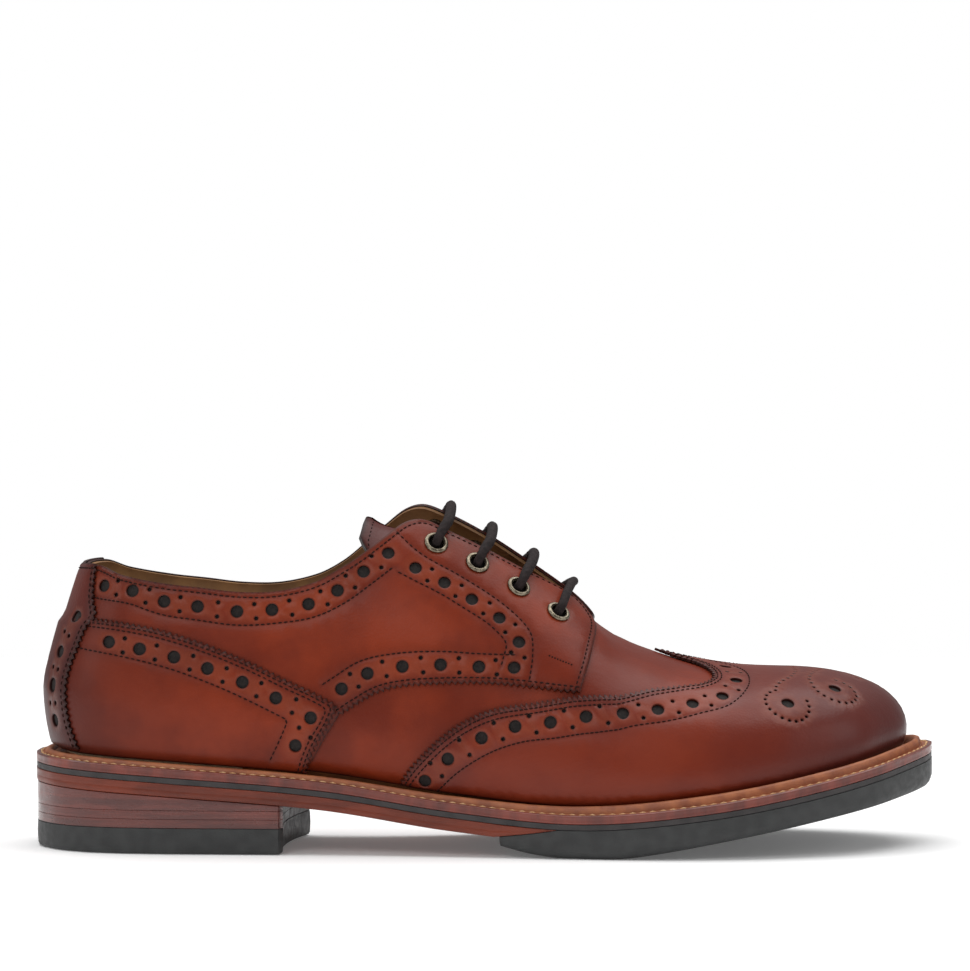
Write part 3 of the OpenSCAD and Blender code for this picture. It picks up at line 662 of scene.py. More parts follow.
def stained(name, light, dark, scale, stretch=(1, 1, 1), rough=0.5, bump=0.2, lines=None, **constants):
    """A plain substance with two tones of noise and some bump; lines adds fine layered streaks along z."""
    made, tree, shader = new_material(name, **constants)
    where = node(tree, "TexCoord").outputs["Object"]
    stretched = node(tree, "Mapping", Vector=where, Scale=stretch).outputs[0]
    tone = spread_of(tree, noise(tree, stretched, scale, 5, 0.6), 0.32, 0.68)
    base = mix(tree, tone, colour(dark), colour(light))
    height = noise(tree, stretched, scale * 6, 4, 0.65)
    if lines:
        streak = node(tree, "Mapping", Vector=where, Scale=(6, 6, lines)).outputs[0]
        layer = spread_of(tree, noise(tree, streak, 1.0, 2), 0.42, 0.58)
        base = mix(tree, scaled(tree, layer, 0.45), base, colour(dark))
    shine = spread_of(tree, noise(tree, where, scale * 2, 3), 0.3, 0.7, rough - 0.08, rough + 0.1)
    tree.links.new(base, shader.inputs["Base Color"])
    tree.links.new(shine, shader.inputs["Roughness"])
    tree.links.new(bumped(tree, height, bump, 0.0003), shader.inputs["Normal"])
    return made


calf = leather("calf_leather", "863015", "6a220f", "4a1f19", 0.65, coat=0.1, sheen=0.16)
toe_calf = leather("toe_leather", "873218", "6c2311", "4e2422", 0.9, coat=0.12, sheen=0.2)
strap_calf = leather("strap_leather", "7c2e1b", "622315", "421d1b", 0.9, coat=0.12, sheen=0.2)
tongue_calf = leather("tongue_leather", "652b23", "542420", "381d1d", 0.5, coat=0.1)
underlay = stained("punched_underlay", "261f1c", "140f0e", 900, rough=0.85, bump=0.4)
lining = stained("lining_leather", "93683c", "724d2a", 70, rough=0.6, bump=0.18)
sock = stained("sock_leather", "8f6236", "6f4826", 60, rough=0.55, bump=0.18)
thread = stained("upper_thread", "331813", "1f100d", 1500, rough=0.85, bump=0.5, Specular_IOR_Level=0.15)
welt_thread = stained("welt_thread", "e0bb8d", "b98656", 1500, rough=0.75, bump=0.5)
welt_leather = stained("welt_leather", "a9663f", "87492d", 160, rough=0.5, bump=0.3)
edge_leather = stained(
    "edge_leather", "7d3527", "5a241b", 120, (1, 1, 0.35), rough=0.36, bump=0.3,
    Coat_Weight=0.3, Coat_Roughness=0.25)
waist_leather = stained(
    "waist_leather", "7a3420", "5c2618", 90, (0.4, 0.4, 2), rough=0.35, bump=0.25,
    Coat_Weight=0.1, Coat_Roughness=0.3, Specular_IOR_Level=0.3)
stack_leather = stained(
    "stack_leather", "71342a", "4c211c", 130, (0.3, 0.3, 2.5), rough=0.32, bump=0.3, lines=900,
    Coat_Weight=0.4, Coat_Roughness=0.2)
# Near-black heel breast: painted shade for the shadow under the waist.
breast_shade = stained("heel_breast_painted_shade", "2f201c", "1f1614", 160, (0.3, 0.3, 2.5), bump=0.25)
dark_layer = stained("dark_rubber_layer", "393434", "272424", 200, rough=0.55, bump=0.2)
rubber = stained("sole_rubber", "343535", "262727", 240, rough=0.55, bump=0.22)
brass = stained("aged_brass", "9a917e", "5f574a", 700, rough=0.32, bump=0.12, Metallic=1.0)
nail_brass = stained("nail_brass", "c2a060", "8d7341", 700, rough=0.35, bump=0.12, Metallic=1.0)
cotton = stained("waxed_lace", "2b2121", "171111", 800, rough=0.8, bump=0.3, Specular_IOR_Level=0.25)
tip_plastic = stained("aglet_plastic", "2a2423", "1d1918", 500, rough=0.3, bump=0.08)
board = stained("stiffener_board", "d8cbb1", "bfae8f", 200, rough=0.8, bump=0.3)
cork = stained("cork_mass", "b08a60", "7d5a39", 350, rough=0.9, bump=0.6)
steel = stained("shank_steel", "a3a5a8", "7d8083", 300, (1, 12, 1), rough=0.3, bump=0.1, Metallic=1.0)

# ---------------------------------------------------------------- sole
WELT_T, MID_T, WAIST_T = 3.0, 2.0, 4.4
WAIST_END, WAIST_TAPER, RUBBER_START = 24.0, 3.0, 3.0
PLAN_STEPS = 180


def plan_stations():
    """Stations at an even step round the sole."""
    fine = np.linspace(-150, 150, 3001)
    u = (lengths(sole_edge(LATERAL, fine)) + lengths(sole_edge(MEDIAL, fine))) / 2
    return np.interp(np.linspace(0, u[-1], PLAN_STEPS + 1), u, fine)


STATIONS = plan_stations()
RING_SIDE = np.concatenate([np.full(PLAN_STEPS + 1, LATERAL), np.full(PLAN_STEPS - 1, MEDIAL)])
RING_S = np.concatenate([STATIONS, STATIONS[-2:0:-1]])


def one_rim(side, s, inset):
    """Outline of the sole moved inward."""
    d = sole_edge(side, np.minimum(s + STEP_S, 150)) - sole_edge(side, np.maximum(s - STEP_S, -150))
    v = unit(np.column_stack([d[:, 1], -d[:, 0]]) * side)
    v[s <= -150] = (1, 0)
    v[s >= 150] = (-1, 0)
    return sole_edge(side, s) + v * inset[:, None]


def rim(side, s, inset):
    return by_side(one_rim, side, s, np.broadcast_to(np.asarray(inset, float), np.shape(s)))


def welt_top(x):
    return curve(WELT_TOP, x)


def mid_foot(x):
    return welt_top(x) - WELT_T - MID_T


def waist_foot(x):
    return mid_foot(x) - WAIST_T * np.clip((WAIST_END - x) / (WAIST_END - WAIST_TAPER), 0, 1)


def tread(x):
    return curve(TREAD, x)


def ring_piece(name, profile, finish, walls, **facts):
    """Solid ring round the sole, from a closed profile of (inset, height over the welt's top).

    The profile's first faces, as many as walls says, take the second material.
    """
    columns = []
    for inset, height in profile:
        xy = rim(RING_SIDE, RING_S, inset)
        columns.append(np.column_stack([xy, welt_top(xy[:, 0]) + height]))
    points = np.stack(columns, 1).reshape(-1, 3)
    marks = np.tile(np.arange(len(profile)) < walls, len(RING_S)).astype(int)
    mesh(name, points, tube_faces(len(RING_S), len(profile), closed=True), finish, marks=marks, **facts)


def slab(name, stations, levels, finish, **facts):
    """Sole layer from loops at rising levels; a level is (inset, height as a function of x)."""
    around = 2 * len(stations)
    points = []
    for inset, height in levels:
        xy = np.vstack([rim(LATERAL, stations, inset), rim(MEDIAL, stations, inset)[::-1]])
        points.append(np.column_stack([xy, height(xy[:, 0])]))
    faces = tube_faces(len(levels), around)
    top = around * (len(levels) - 1)
    for i in range(len(stations) - 1):
        j = around - 1 - i
        faces += [[i, j, j - 1, i + 1], [top + i, top + i + 1, top + j - 1, top + j]]
    merge_doubles(mesh(name, np.vstack(points), faces, finish, **facts))


def merge_doubles(piece):
    """Joins points that fell on each other, such as where the two sides meet."""
    made = bmesh.new()
    made.from_mesh(piece.data)
    bmesh.ops.remove_doubles(made, verts=made.verts, dist=1e-6)
    bmesh.ops.recalc_face_normals(made, faces=made.faces)
    made.to_mesh(piece.data)
    made.free()


BEAD_INSET = [[-150, 4.2], [-90, 3.9], [-30, 4.1], [30, 5.0], [98, 5.3], [150, 5.2]]
BEAD_HEIGHT = [[-150, 1.5], [-60, 1.5], [0, 2.1], [40, 2.6], [100, 2.9], [150, 2.9]]
WELT_STITCH_INSET = 1.75
STRIP_INNER, STRIP_EDGE_FACES = 13, 9
STRIP_PROFILE = [
    (STRIP_INNER, -WELT_T), (0.3, -WELT_T), (0.05, -2.8), (0.0, -2.2), (0.12, -1.6), (0.0, -1.0),
    (0.05, -0.4), (0.4, -0.06), (0.9, 0), (1.35, 0), (1.6, -0.28), (1.9, -0.28), (2.15, 0)]
RIB_PROFILE = [
    (-1.85, 0.02), (-1.6, -0.22), (-1.4, -0.1), (-1.3, 0.35), (-0.95, 0.75), (-0.4, 0.95), (0.2, 1.0),
    (0.8, 0.9), (1.3, 0.55), (1.6, 0.1)]


def welt_profile():
    """Section of the welt: a flat strip with a groove for its stitches, and a rib against the upper."""
    bead, high = curve(BEAD_INSET, RING_S), curve(BEAD_HEIGHT, RING_S)
    rib = [(bead + d, h * high if h > 0.3 else h) for d, h in RIB_PROFILE]
    return [*STRIP_PROFILE, *rib, (STRIP_INNER, 0)]


def build_welt():
    ring_piece("welt_strip", welt_profile(), [welt_leather, edge_leather], walls=STRIP_EDGE_FACES,
               replaces=["welt"], slot="welt_leather")
    xy = rim(RING_SIDE, RING_S, WELT_STITCH_INSET)
    loop = resample(xy, 3.3, closed=True)
    d = unit(np.roll(loop, -1, axis=0) - loop)
    slope = (welt_top(loop[:, 0] + 1) - welt_top(loop[:, 0] - 1)) / 2
    tangents = unit(np.column_stack([d, d[:, 0] * slope]))
    centres = np.column_stack([loop, welt_top(loop[:, 0]) - 0.02])
    up = np.tile([0.0, 0.0, 1.0], (len(loop), 1))
    ellipsoids("welt_stitches", centres, tangents, up, 2.7, 0.42, welt_thread, dip=0.3, slot="welt_leather")


ROLL = [(2.6, 0.0), (1.3, 0.45), (0.45, 1.35), (0.0, 2.7)]
RECESS = 1.4
RIM_WIDTH = 8.2
STUD_PITCH = 10.2
WAIST_PROFILE = [
    (2.0, 1.0), (0.7, 0.99), (0.2, 0.94), (0.0, 0.8), (0.0, 0.55), (0.06, 0.5), (0.0, 0.45), (0.0, 0.06),
    (0.3, 0.0)]


def under_waist(height):
    return lambda x: np.minimum(height(x), waist_foot(x) - 0.15)


def build_forepart():
    slab("thin_dark_layer", STATIONS, [
        (3, mid_foot), (0.45, mid_foot), (0.12, lambda x: mid_foot(x) + 0.15),
        (0.12, lambda x: mid_foot(x) + MID_T - 0.15), (0.45, lambda x: mid_foot(x) + MID_T)],
        dark_layer, replaces=["midlayer"], slot="mid_rubber")
    back = STATIONS[STATIONS < WAIST_END]
    levels = [(inset, lambda x, d=d: mid_foot(x) - (mid_foot(x) - waist_foot(x)) * d - 0.02)
              for inset, d in WAIST_PROFILE]
    slab("waist_and_seat", back, levels, waist_leather, replaces=["waist_layer"], slot="sole_leather")
    front = STATIONS[STATIONS > RUBBER_START]

    def recess(x):
        return RECESS * np.clip((x - 12) / 14, 0, 1)

    field = [(RIM_WIDTH + 1.2, 1.0), (RIM_WIDTH + 0.7, 1.0), (RIM_WIDTH + 0.3, 0.12), (RIM_WIDTH, 0.0)]
    levels = [(i, under_waist(lambda x, f=f: tread(x) + recess(x) * f)) for i, f in field]
    levels += [(i, under_waist(lambda x, h=h: tread(x) + h)) for i, h in ROLL]
    levels += [(0.0, lambda x: waist_foot(x) - 0.14), (0.25, lambda x: waist_foot(x) - 0.02)]
    slab("rubber_forepart", front, levels, rubber, replaces=["outsole_forepart"], slot="rubber")
    field_edge = resample(rim(RING_SIDE, RING_S, RIM_WIDTH + 5.2), 2, closed=True)
    spots = hexagons((-160, -60), (160, 60), STUD_PITCH)
    spots = spots[inside(spots, field_edge) & (spots[:, 0] > 30)]
    studs("tread_studs", spots, tread, RECESS)


def studs(name, spots, ground, depth):
    """Round grip studs that stand down from a recessed field to the ground face."""
    profile = [(3.9, depth + 0.3), (3.6, 0.4), (3.2, 0.04), (1.6, 0.03), (1.2, 0.45)]
    sides = 18
    points, faces = [], []
    for cx, cy in spots:
        start = len(points)
        for r, h in profile:
            for k in range(sides):
                a = 2 * math.pi * k / sides
                x, y = cx + r * math.cos(a), cy + r * math.sin(a)
                points.append([x, y, float(ground(x)) + h])
        faces += tube_faces(len(profile), sides, start)
        foot = start + sides * (len(profile) - 1)
        faces += [[*range(start, start + sides)][::-1], [*range(foot, foot + sides)]]
    merge_doubles(mesh(name, points, faces, rubber, slot="rubber", angle=30))


BREAST_X, BREAST_SLANT, BREAST_R, HEEL_INSET = -61.5, 0.128, 160.0, 0.4
BREAST_CENTRE = (BREAST_X + BREAST_R - 5.3, -3 - BREAST_R * BREAST_SLANT)
TOP_PIECE_H, LIFT_H = 8.5, 2.9
NAILS_X, NAILS_Y = -108, 1.5


def breast(y, inset):
    """Front face of the heel: slanted, and hollowed towards its middle."""
    hollow = BREAST_CENTRE[0] - np.sqrt(BREAST_R**2 - (y - BREAST_CENTRE[1]) ** 2)
    return np.minimum(BREAST_X + BREAST_SLANT * y, hollow) - inset


def heel_loop(inset):
    """Outline of the heel seen from above, moved inward."""
    back = STATIONS[STATIONS < -45]
    halves = []
    for side in SIDES:
        whole = rim(side, back, HEEL_INSET)
        kept = whole[:, 0] < breast(whole[:, 1], 0)
        half = rim(side, back, HEEL_INSET + inset)[kept]
        half[:, 0] = np.minimum(half[:, 0], breast(half[:, 1], inset))
        halves.append(half)
    y = np.linspace(halves[0][-1, 1], halves[1][-1, 1], 26)[1:-1]
    return np.vstack([halves[0], np.column_stack([breast(y, inset), y]), halves[1][:0:-1]])


def breast_marks(levels):
    """Face marks of a heel part: 1 on the breast, 0 elsewhere."""
    loop = heel_loop(0)
    on_breast = np.abs(loop[:, 0] - breast(loop[:, 1], 0)) < 0.01
    both = on_breast & np.roll(on_breast, -1)
    return [0, *np.tile(both, levels - 1).astype(int), 0]


def heel_part(name, levels, finish, **facts):
    points, n = [], len(heel_loop(0))
    for inset, height in levels:
        xy = heel_loop(inset)
        z = height(xy[:, 0]) if callable(height) else np.full(n, float(height))
        points.append(np.column_stack([xy, z]))
    top = n * (len(levels) - 1)
    faces = [[*range(n)][::-1], *tube_faces(len(levels), n), [*range(top, top + n)]]
    marks = breast_marks(len(levels)) if isinstance(finish, list) else None
    mesh(name, np.vstack(points), faces, finish, marks=marks, **facts)


def build_heel():
    field = 1.15
    heel_part("heel_top_piece_rubber", [
        (8.6, field), (8.2, field), (7.8, 0.12), (7.5, 0), (1.1, 0), (0.35, 0.3), (0, 1.0),
        (-0.15, 4.5), (0.0, TOP_PIECE_H - 0.3), (0.25, TOP_PIECE_H - 0.02)],
        rubber, replaces=["heel_top_piece"], slot="rubber")
    edge = heel_loop(12.5)
    spots = hexagons((-150, -40), (-50, 40), STUD_PITCH)
    nails = [(NAILS_X + 22 * math.cos(a), NAILS_Y + 21 * math.sin(a)) for a in np.radians(range(60, 301, 40))]
    spots = spread(spots[inside(spots, edge)], nails, 5.2)
    studs("heel_studs", spots, lambda x: 0.0, field)
    for k in (1, 2, 3):
        low = TOP_PIECE_H + (k - 1) * LIFT_H
        levels = [(0.12, low + 0.01), (0.02, low + 0.1)]
        if k < 3:
            levels += [(0, low + LIFT_H / 2), (0.02, low + LIFT_H - 0.1), (0.12, low + LIFT_H - 0.01)]
        else:
            levels += [(-0.05, lambda x: (low + waist_foot(x)) / 2), (0.0, lambda x: waist_foot(x) - 0.2),
                       (0.2, lambda x: waist_foot(x) - 0.03)]
        # The breast faces take the painted shade finish.
        heel_part(f"heel_lift_{k}_leather", levels, [stack_leather, breast_shade],
                  replaces=[f"heel_lift_{k}"], slot="heel_leather")


# ---------------------------------------------------------------- panels of the upper
VAMP = (-1.2, 0.0)
QUARTER = (0.3, 1.6)
CAP = (0.35, 1.65)
COUNTER = (1.7, 3.0)
STRAP = (3.1, 4.3)
LINING_OUT, LINING_T = -1.95, 1.0
FEATHER_PULL, FEATHER_RISE = 1.1, 3.2
STRAP_STEP = 1.3
EDGE_SEAM, LOW_SEAM, DOUBLE_SEAM = 1.8, 1.7, (1.2, 2.5)
QUARTER_OUT_CAD, LINING_IN_CAD = 1.7, -2.95

COLLAR = [
    (-150, 0.555), (-136, 0.53), (-123, 0.488), (-106, 0.458), (-94, 0.452), (-81.5, 0.45), (-69, 0.462),
    (-56.5, 0.497), (-48, 0.542)]
TOPLINE = {
    LATERAL: COLLAR + [
        (-41, 0.59), (-33, 0.665), (-26, 0.745), (-20, 0.785), (-12, 0.787), (0, 0.797), (10, 0.815),
        (20, 0.86), (27, 0.9), (31, 0.905), (34.5, 0.87), (36.2, 0.82), (36, 0.745)],
    MEDIAL: COLLAR + [
        (-41, 0.6), (-33, 0.69), (-26, 0.79), (-20, 0.86), (-12, 0.88), (0, 0.89), (10, 0.9), (20, 0.915),
        (27, 0.925), (31, 0.925), (34.5, 0.9), (36.2, 0.85), (36, 0.77)]}
FACING_FRONT = [(36, 0.745), (34, 0.59), (31, 0.452)]
QUARTER_LOW = [
    (31, 0.452), (15, 0.409), (2.5, 0.38), (-14, 0.342), (-26, 0.318), (-35, 0.294), (-43, 0.256),
    (-48, 0.228)]
QUARTER_HIDDEN = [(-48, 0.228), (-53, 0.14), (-58, 0.04), (-62, 0.012)]
COLLAR_ROW = [
    (-131.5, 0.483), (-117.5, 0.45), (-105.5, 0.425), (-94.5, 0.417), (-81.5, 0.413), (-70, 0.425),
    (-58, 0.45), (-48.5, 0.492), (-40, 0.55), (-32, 0.617)]
FACING_ROW = [(-23, 0.602), (-13.5, 0.592), (-4.5, 0.578), (4.5, 0.562), (11, 0.52), (9.5, 0.442)]
LOW_ROW = [(-47, 0.288), (-38.5, 0.329), (-27, 0.358), (-14.5, 0.383), (-2, 0.408), (9.5, 0.442)]
FACING_SEAM = [(-31, 0.7), (-22, 0.652), (-8, 0.632), (6, 0.61), (14.5, 0.57), (15.5, 0.5), (14.5, 0.424)]
EYELET_S = [23.5, 10.5, -3.0, -16.5]
EYELET_T = {LATERAL: 0.705, MEDIAL: 0.78}
BAR_TACK = [(20.5, 0.522), (28.5, 0.53)]
BAR_TACK_STITCH = (0.95, 0.8, 0.42)

COUNTER_TOP = [
    (-150, 0.436), (-133, 0.418), (-110.5, 0.376), (-94, 0.35), (-77, 0.317), (-64.5, 0.288), (-56, 0.27),
    (-48.5, 0.25)]
COUNTER_FRONT = [(-48.5, 0.25), (-51.5, 0.195), (-55.5, 0.118), (-58, 0.05), (-59, 0.012)]
COUNTER_ROW = [
    (-126, 0.363), (-113.5, 0.336), (-102, 0.32), (-91, 0.3), (-79.5, 0.277), (-68.5, 0.25), (-57, 0.213),
    (-62, 0.112)]
COUNTER_SEAM = [
    (-136.5, 0.358), (-120.5, 0.325), (-102.5, 0.294), (-85.5, 0.258), (-69, 0.212), (-64.5, 0.195)]
COUNTER_SEAM_DOWN = [(-64.5, 0.195), (-67, 0.13), (-70.5, 0.05)]
COUNTER_EDGE_Y = 45.0
STRAP_EDGE = [
    (-136.5, 0.53), (-135.5, 0.488), (-134.5, 0.456), (-132.8, 0.43), (-135, 0.396), (-136.8, 0.35),
    (-138.2, 0.3), (-138.7, 0.24), (-138.6, 0.16), (-138, 0.1), (-137, 0.06), (-136.4, 0.03)]
STRAP_ROW = [(-139.5, 0.43), (-142, 0.348), (-142.8, 0.225), (-142.5, 0.108)]

VAMP_BACK = [
    (-62, 0.1), (-48, 0.3), (-35, 0.36), (-14, 0.41), (15, 0.48), (28, 0.56), (31.5, 0.74), (33, 0.9),
    (33.5, 0.995)]
VAMP_DIP = 0.15
CAP_WING = [
    (-28, 0.02), (-25, 0.08), (-20, 0.155), (-15, 0.213), (-7.5, 0.263), (2.5, 0.314), (19.5, 0.38),
    (36, 0.463), (52.5, 0.577), (64, 0.652), (72, 0.703), (75.6, 0.765), (74.3, 0.86), (69, 0.94),
    (57, 0.9985)]
CAP_ROW = [
    (-19.5, 0.058), (-12, 0.158), (-1, 0.242), (10, 0.292), (21.5, 0.329), (33, 0.379), (45, 0.442),
    (56.5, 0.492), (68, 0.55), (78, 0.612), (83, 0.75), (80, 0.91)]
CAP_ROW_TOP = (67.5, 9.0)


def pulled_in(flat_map, xy, low, high):
    """Panels are drawn in over the feather edge, close above the welt."""
    side, s, t = flat_map.shoe(xy)
    pull = FEATHER_PULL * np.exp(-((by_side(rise, side, s, t) / FEATHER_RISE) ** 2))
    return low - pull, high - pull


def sewn_panel(node_name, flat_map, outline, offsets, finish, holes=(), rows=(), shape=pulled_in,
               slot="upper_leather"):
    """A panel that takes a CAD node's place, and the stitches along its rows."""
    rows = [r[inside(r, outline)] for r in rows]

    def place(xy, low, high):
        return shape(flat_map, xy, low, high)

    panel(node_name + "_leather", flat_map, outline, offsets, finish, holes, rows, place,
          replaces=[node_name], slot=slot)
    if rows:
        stitching(node_name + "_stitches", flat_map, rows, lambda p: place(p, *offsets)[1],
                  slot="lace_cotton")


def sole_line(side, start, stop, t, count):
    """Flat path along the sole of one side, at height t."""
    return HeelMap.flat(side, np.linspace(start, stop, count), np.full(count, t))


def upright(side, s, low, high, step):
    """Flat path up one station."""
    return resample(HeelMap.flat(side, np.array([s, s]), np.array([low, high])), step)


def medial_lift(side, points):
    """The medial facing reaches a little higher, and its rows with it."""
    if side == LATERAL:
        return points
    out = []
    for s, t in points:
        share = np.clip((s + 45) / 25, 0, 1) * np.clip((t - 0.42) / 0.16, 0, 1)
        out.append((s, t + 0.07 * share))
    return out


def on_flat(flat_map, side, points):
    """Flat places of surface points (s, t) of one side."""
    p = np.asarray(points, float)
    return flat_map.flat(side, p[:, 0], p[:, 1])


def punched(big, small=2.35):
    """Big holes at the given flat places, and a pair of small ones across the row between each two.

    Returns the holes and the row's path.
    """
    row = smooth(big, 0.5)
    sides = side_vectors(row)
    holes = [(c, BIG_HOLE, 18) for c in big]
    for a, b in zip(big[:-1], big[1:]):
        i = int(np.argmin(np.hypot(*(row - (a + b) / 2).T)))
        holes += [(row[i] + sides[i] * small, SMALL_HOLE, 9), (row[i] - sides[i] * small, SMALL_HOLE, 9)]
    return holes, row


def eyelet_holes(side):
    s = np.array(EYELET_S)
    spots = HeelMap.flat(side, s, np.full(len(s), EYELET_T[side]))
    return [(c, EYELET_HOLE, 26) for c in spots]


def quarter_paths(side):
    def path(points, step=0.9):
        return draft(HeelMap, side, medial_lift(side, points), step)
    return {
        "back": upright(side, -150.0, 0.012, 0.555, 1.0) + [-side * 0.3, 0],
        "top": draft(HeelMap, side, TOPLINE[side], 0.9),
        "front": path(FACING_FRONT),
        "low": draft(HeelMap, side, QUARTER_LOW, 0.5),
        "hidden": draft(HeelMap, side, QUARTER_HIDDEN, 1.0),
        "foot": sole_line(side, -62, -149.7, 0.012, 70),
        "collar_row": medial_lift(side, COLLAR_ROW), "facing_row": medial_lift(side, FACING_ROW),
        "low_row": medial_lift(side, LOW_ROW),
        "facing_seam": path(FACING_SEAM), "tack": path(BAR_TACK, 0.4)}


def build_quarter(side):
    q = quarter_paths(side)
    inner = -side
    outline = join(q["back"], q["top"][1:], q["front"][1:], gimped(q["low"])[1:], q["hidden"][1:],
                   q["foot"][1:])
    collar_holes, collar_row = punched(on_flat(HeelMap, side, q["collar_row"]))
    facing_holes, facing_row = punched(on_flat(HeelMap, side, q["facing_row"]))
    low_holes, low_row = punched(on_flat(HeelMap, side, q["low_row"]))
    holes = unique_holes(collar_holes + facing_holes + low_holes)
    collar_seam = beside(longer(collar_row, 5), -inner * 4.5)
    facing_low = beside(longer(facing_row[:-8], 5), -inner * 4.3)
    low_high = beside(longer(low_row[:-8], 5), inner * 4.3)
    meet = int(np.argmin(nearest(collar_seam, facing_low)))
    start = int(np.argmin(np.hypot(*(facing_low - collar_seam[meet]).T)))
    collar_seam, facing_low = collar_seam[:meet + 1], facing_low[start:]
    rows = [
        beside(np.vstack([q["top"], q["front"][1:]]), -inner * EDGE_SEAM), collar_seam, facing_low,
        low_high, q["facing_seam"], beside(q["low"], -inner * LOW_SEAM)]
    sewn_panel(f"quarter_{SIDES[side]}", HeelMap, outline, QUARTER, [calf, underlay],
               holes + eyelet_holes(side), rows)
    stitching(f"bar_tack_{SIDES[side]}", HeelMap, [q["tack"]], QUARTER[1], *BAR_TACK_STITCH,
              slot="lace_cotton")


def longer(path, more):
    """Path carried straight on at both ends."""
    first = path[0] + unit(path[0] - path[4]) * more
    last = path[-1] + unit(path[-1] - path[-5]) * more
    return resample(np.vstack([first, path, last]), 0.5)


def unique_holes(holes):
    """The holes without those that would run into an earlier one."""
    kept = []
    for c, r, n in holes:
        if all(np.hypot(*(c - k[0])) > r + k[1] + 0.5 for k in kept):
            kept.append((c, r, n))
    return kept


def build_counter(side):
    top = draft(HeelMap, side, COUNTER_TOP, 0.5)
    front = draft(HeelMap, side, COUNTER_FRONT, 0.5)
    whole = np.vstack([top, front[1:]])
    foot = sole_line(side, -59, -149.7, 0.014, 70)
    back = upright(side, -149.7, 0.014, 0.436, 1.0)
    outline = join(gimped(whole), foot[1:], back[1:-1])
    holes = punched(on_flat(HeelMap, side, COUNTER_ROW))[0]
    seam = np.vstack([draft(HeelMap, side, points, 0.5) for points in (COUNTER_SEAM, COUNTER_SEAM_DOWN)])
    rows = [*[beside(whole, side * inset) for inset in DOUBLE_SEAM], seam]
    sewn_panel(f"counter_{SIDES[side]}", HeelMap, outline, COUNTER, [calf, underlay], holes, rows)


def strap_shape(flat_map, xy, low, high):
    """The strap lies on the counters, and steps down onto the quarters above them."""
    low, high = pulled_in(flat_map, xy, low, high)
    over_counter = np.clip((COUNTER_EDGE_Y + 1.5 - xy[:, 1]) / 3.0, 0, 1)
    step = STRAP_STEP * (1 - over_counter)
    return low - step, high - step


def build_strap():
    edges = {side: draft(HeelMap, side, STRAP_EDGE, 0.5) for side in SIDES}
    x = np.linspace(edges[MEDIAL][0, 0], edges[LATERAL][0, 0], 60)
    top_s = np.interp(np.abs(x), ALONG[LATERAL], S_GRID)
    top = HeelMap.flat(LATERAL, top_s, curve(COLLAR, top_s))
    top[:, 0] = x
    x = np.linspace(edges[LATERAL][-1, 0], edges[MEDIAL][-1, 0], 50)
    foot = np.column_stack([x, np.full(50, edges[LATERAL][-1, 1])])
    outline = join(top, gimped(edges[LATERAL])[1:], foot[1:], gimped(edges[MEDIAL][::-1])[1:-1])
    holes, rows = [], []
    for side in SIDES:
        holes += punched(on_flat(HeelMap, side, STRAP_ROW), small=1.8)[0]
        rows.append(beside(edges[side], side * 1.5))
    rows.append(beside(top, -EDGE_SEAM))
    sewn_panel("back_strap", HeelMap, outline, STRAP, [strap_calf, underlay], holes, rows, strap_shape)


def toe_foot(s_back, t, step=1.2):
    """Flat path along the sole from one side, round the toe, to the other."""
    fine = np.linspace(s_back, 150, 400)
    halves = [ToeMap.flat(side, fine, np.full(400, t)) for side in (LATERAL, MEDIAL)]
    return resample(np.vstack([halves[0], halves[1][-2::-1]]), step)


def both_sides(points, step):
    """Flat path through the same surface points up the lateral side and down the medial side."""
    halves = [draft(ToeMap, side, points, step) for side in (LATERAL, MEDIAL)]
    return np.vstack([halves[0], halves[1][::-1][1:]])


def vamp_shape(flat_map, xy, low, high):
    """The vamp sinks under the facings where they meet over the instep."""
    low, high = pulled_in(flat_map, xy, low, high)
    _, s, t = flat_map.shoe(xy)
    dip = VAMP_DIP * np.clip(46 - s, 0, 20) ** 1.1 * np.clip((t - 0.82) / 0.13, 0, 1)
    return low - dip, high - dip


def build_vamp():
    back = both_sides(VAMP_BACK, 1.1)
    outline = join(toe_foot(-62, 0.012), back[::-1][1:-1])
    sewn_panel("vamp", ToeMap, outline, VAMP, [calf, calf], shape=vamp_shape)


def mirrored(points):
    """Flat points and their mirror images over the toe's centre line."""
    p = np.asarray(points, float)
    return np.vstack([p, np.column_stack([p[:, 0], 2 * TOE[1] - p[:, 1]])])


def arc(centre, radius, start, stop, count):
    a = np.radians(np.linspace(start, stop, count))
    return np.column_stack([centre[0] + radius * np.cos(a), centre[1] + radius * np.sin(a)])


def medallion():
    """Punched toe pattern: two ringed lobes on each side, tied to the centre line by curved rows."""
    near, front, tip = (99.5, -30.0), (116.0, -15.0), (127.0, 9.0)
    small = [
        arc(near, 7.4, 120, 385, 15),
        smooth([(95.2, -23.9), (97.5, -17.5), (101.5, -10.5), (103.5, -2.5), (103.0, 5.5)], 3.1)[1:],
        arc(front, 7.6, 200, 445, 13),
        smooth([(108.9, -17.6), (107.6, -11.0), (109.0, -3.5), (111.5, 4.0)], 3.1)[1:],
        arc(tip, 6.2, 90, 270, 8)[1:-1]]
    big = mirrored([near, front])
    points = np.vstack([mirrored(np.vstack(small)), [(133.2, 9.0), (120.8, 9.0)]])
    holes = [(c, BIG_HOLE, 18) for c in [*big, np.array(tip)]]
    return unique_holes(holes + [(c, FINE_HOLE, 8) for c in points])


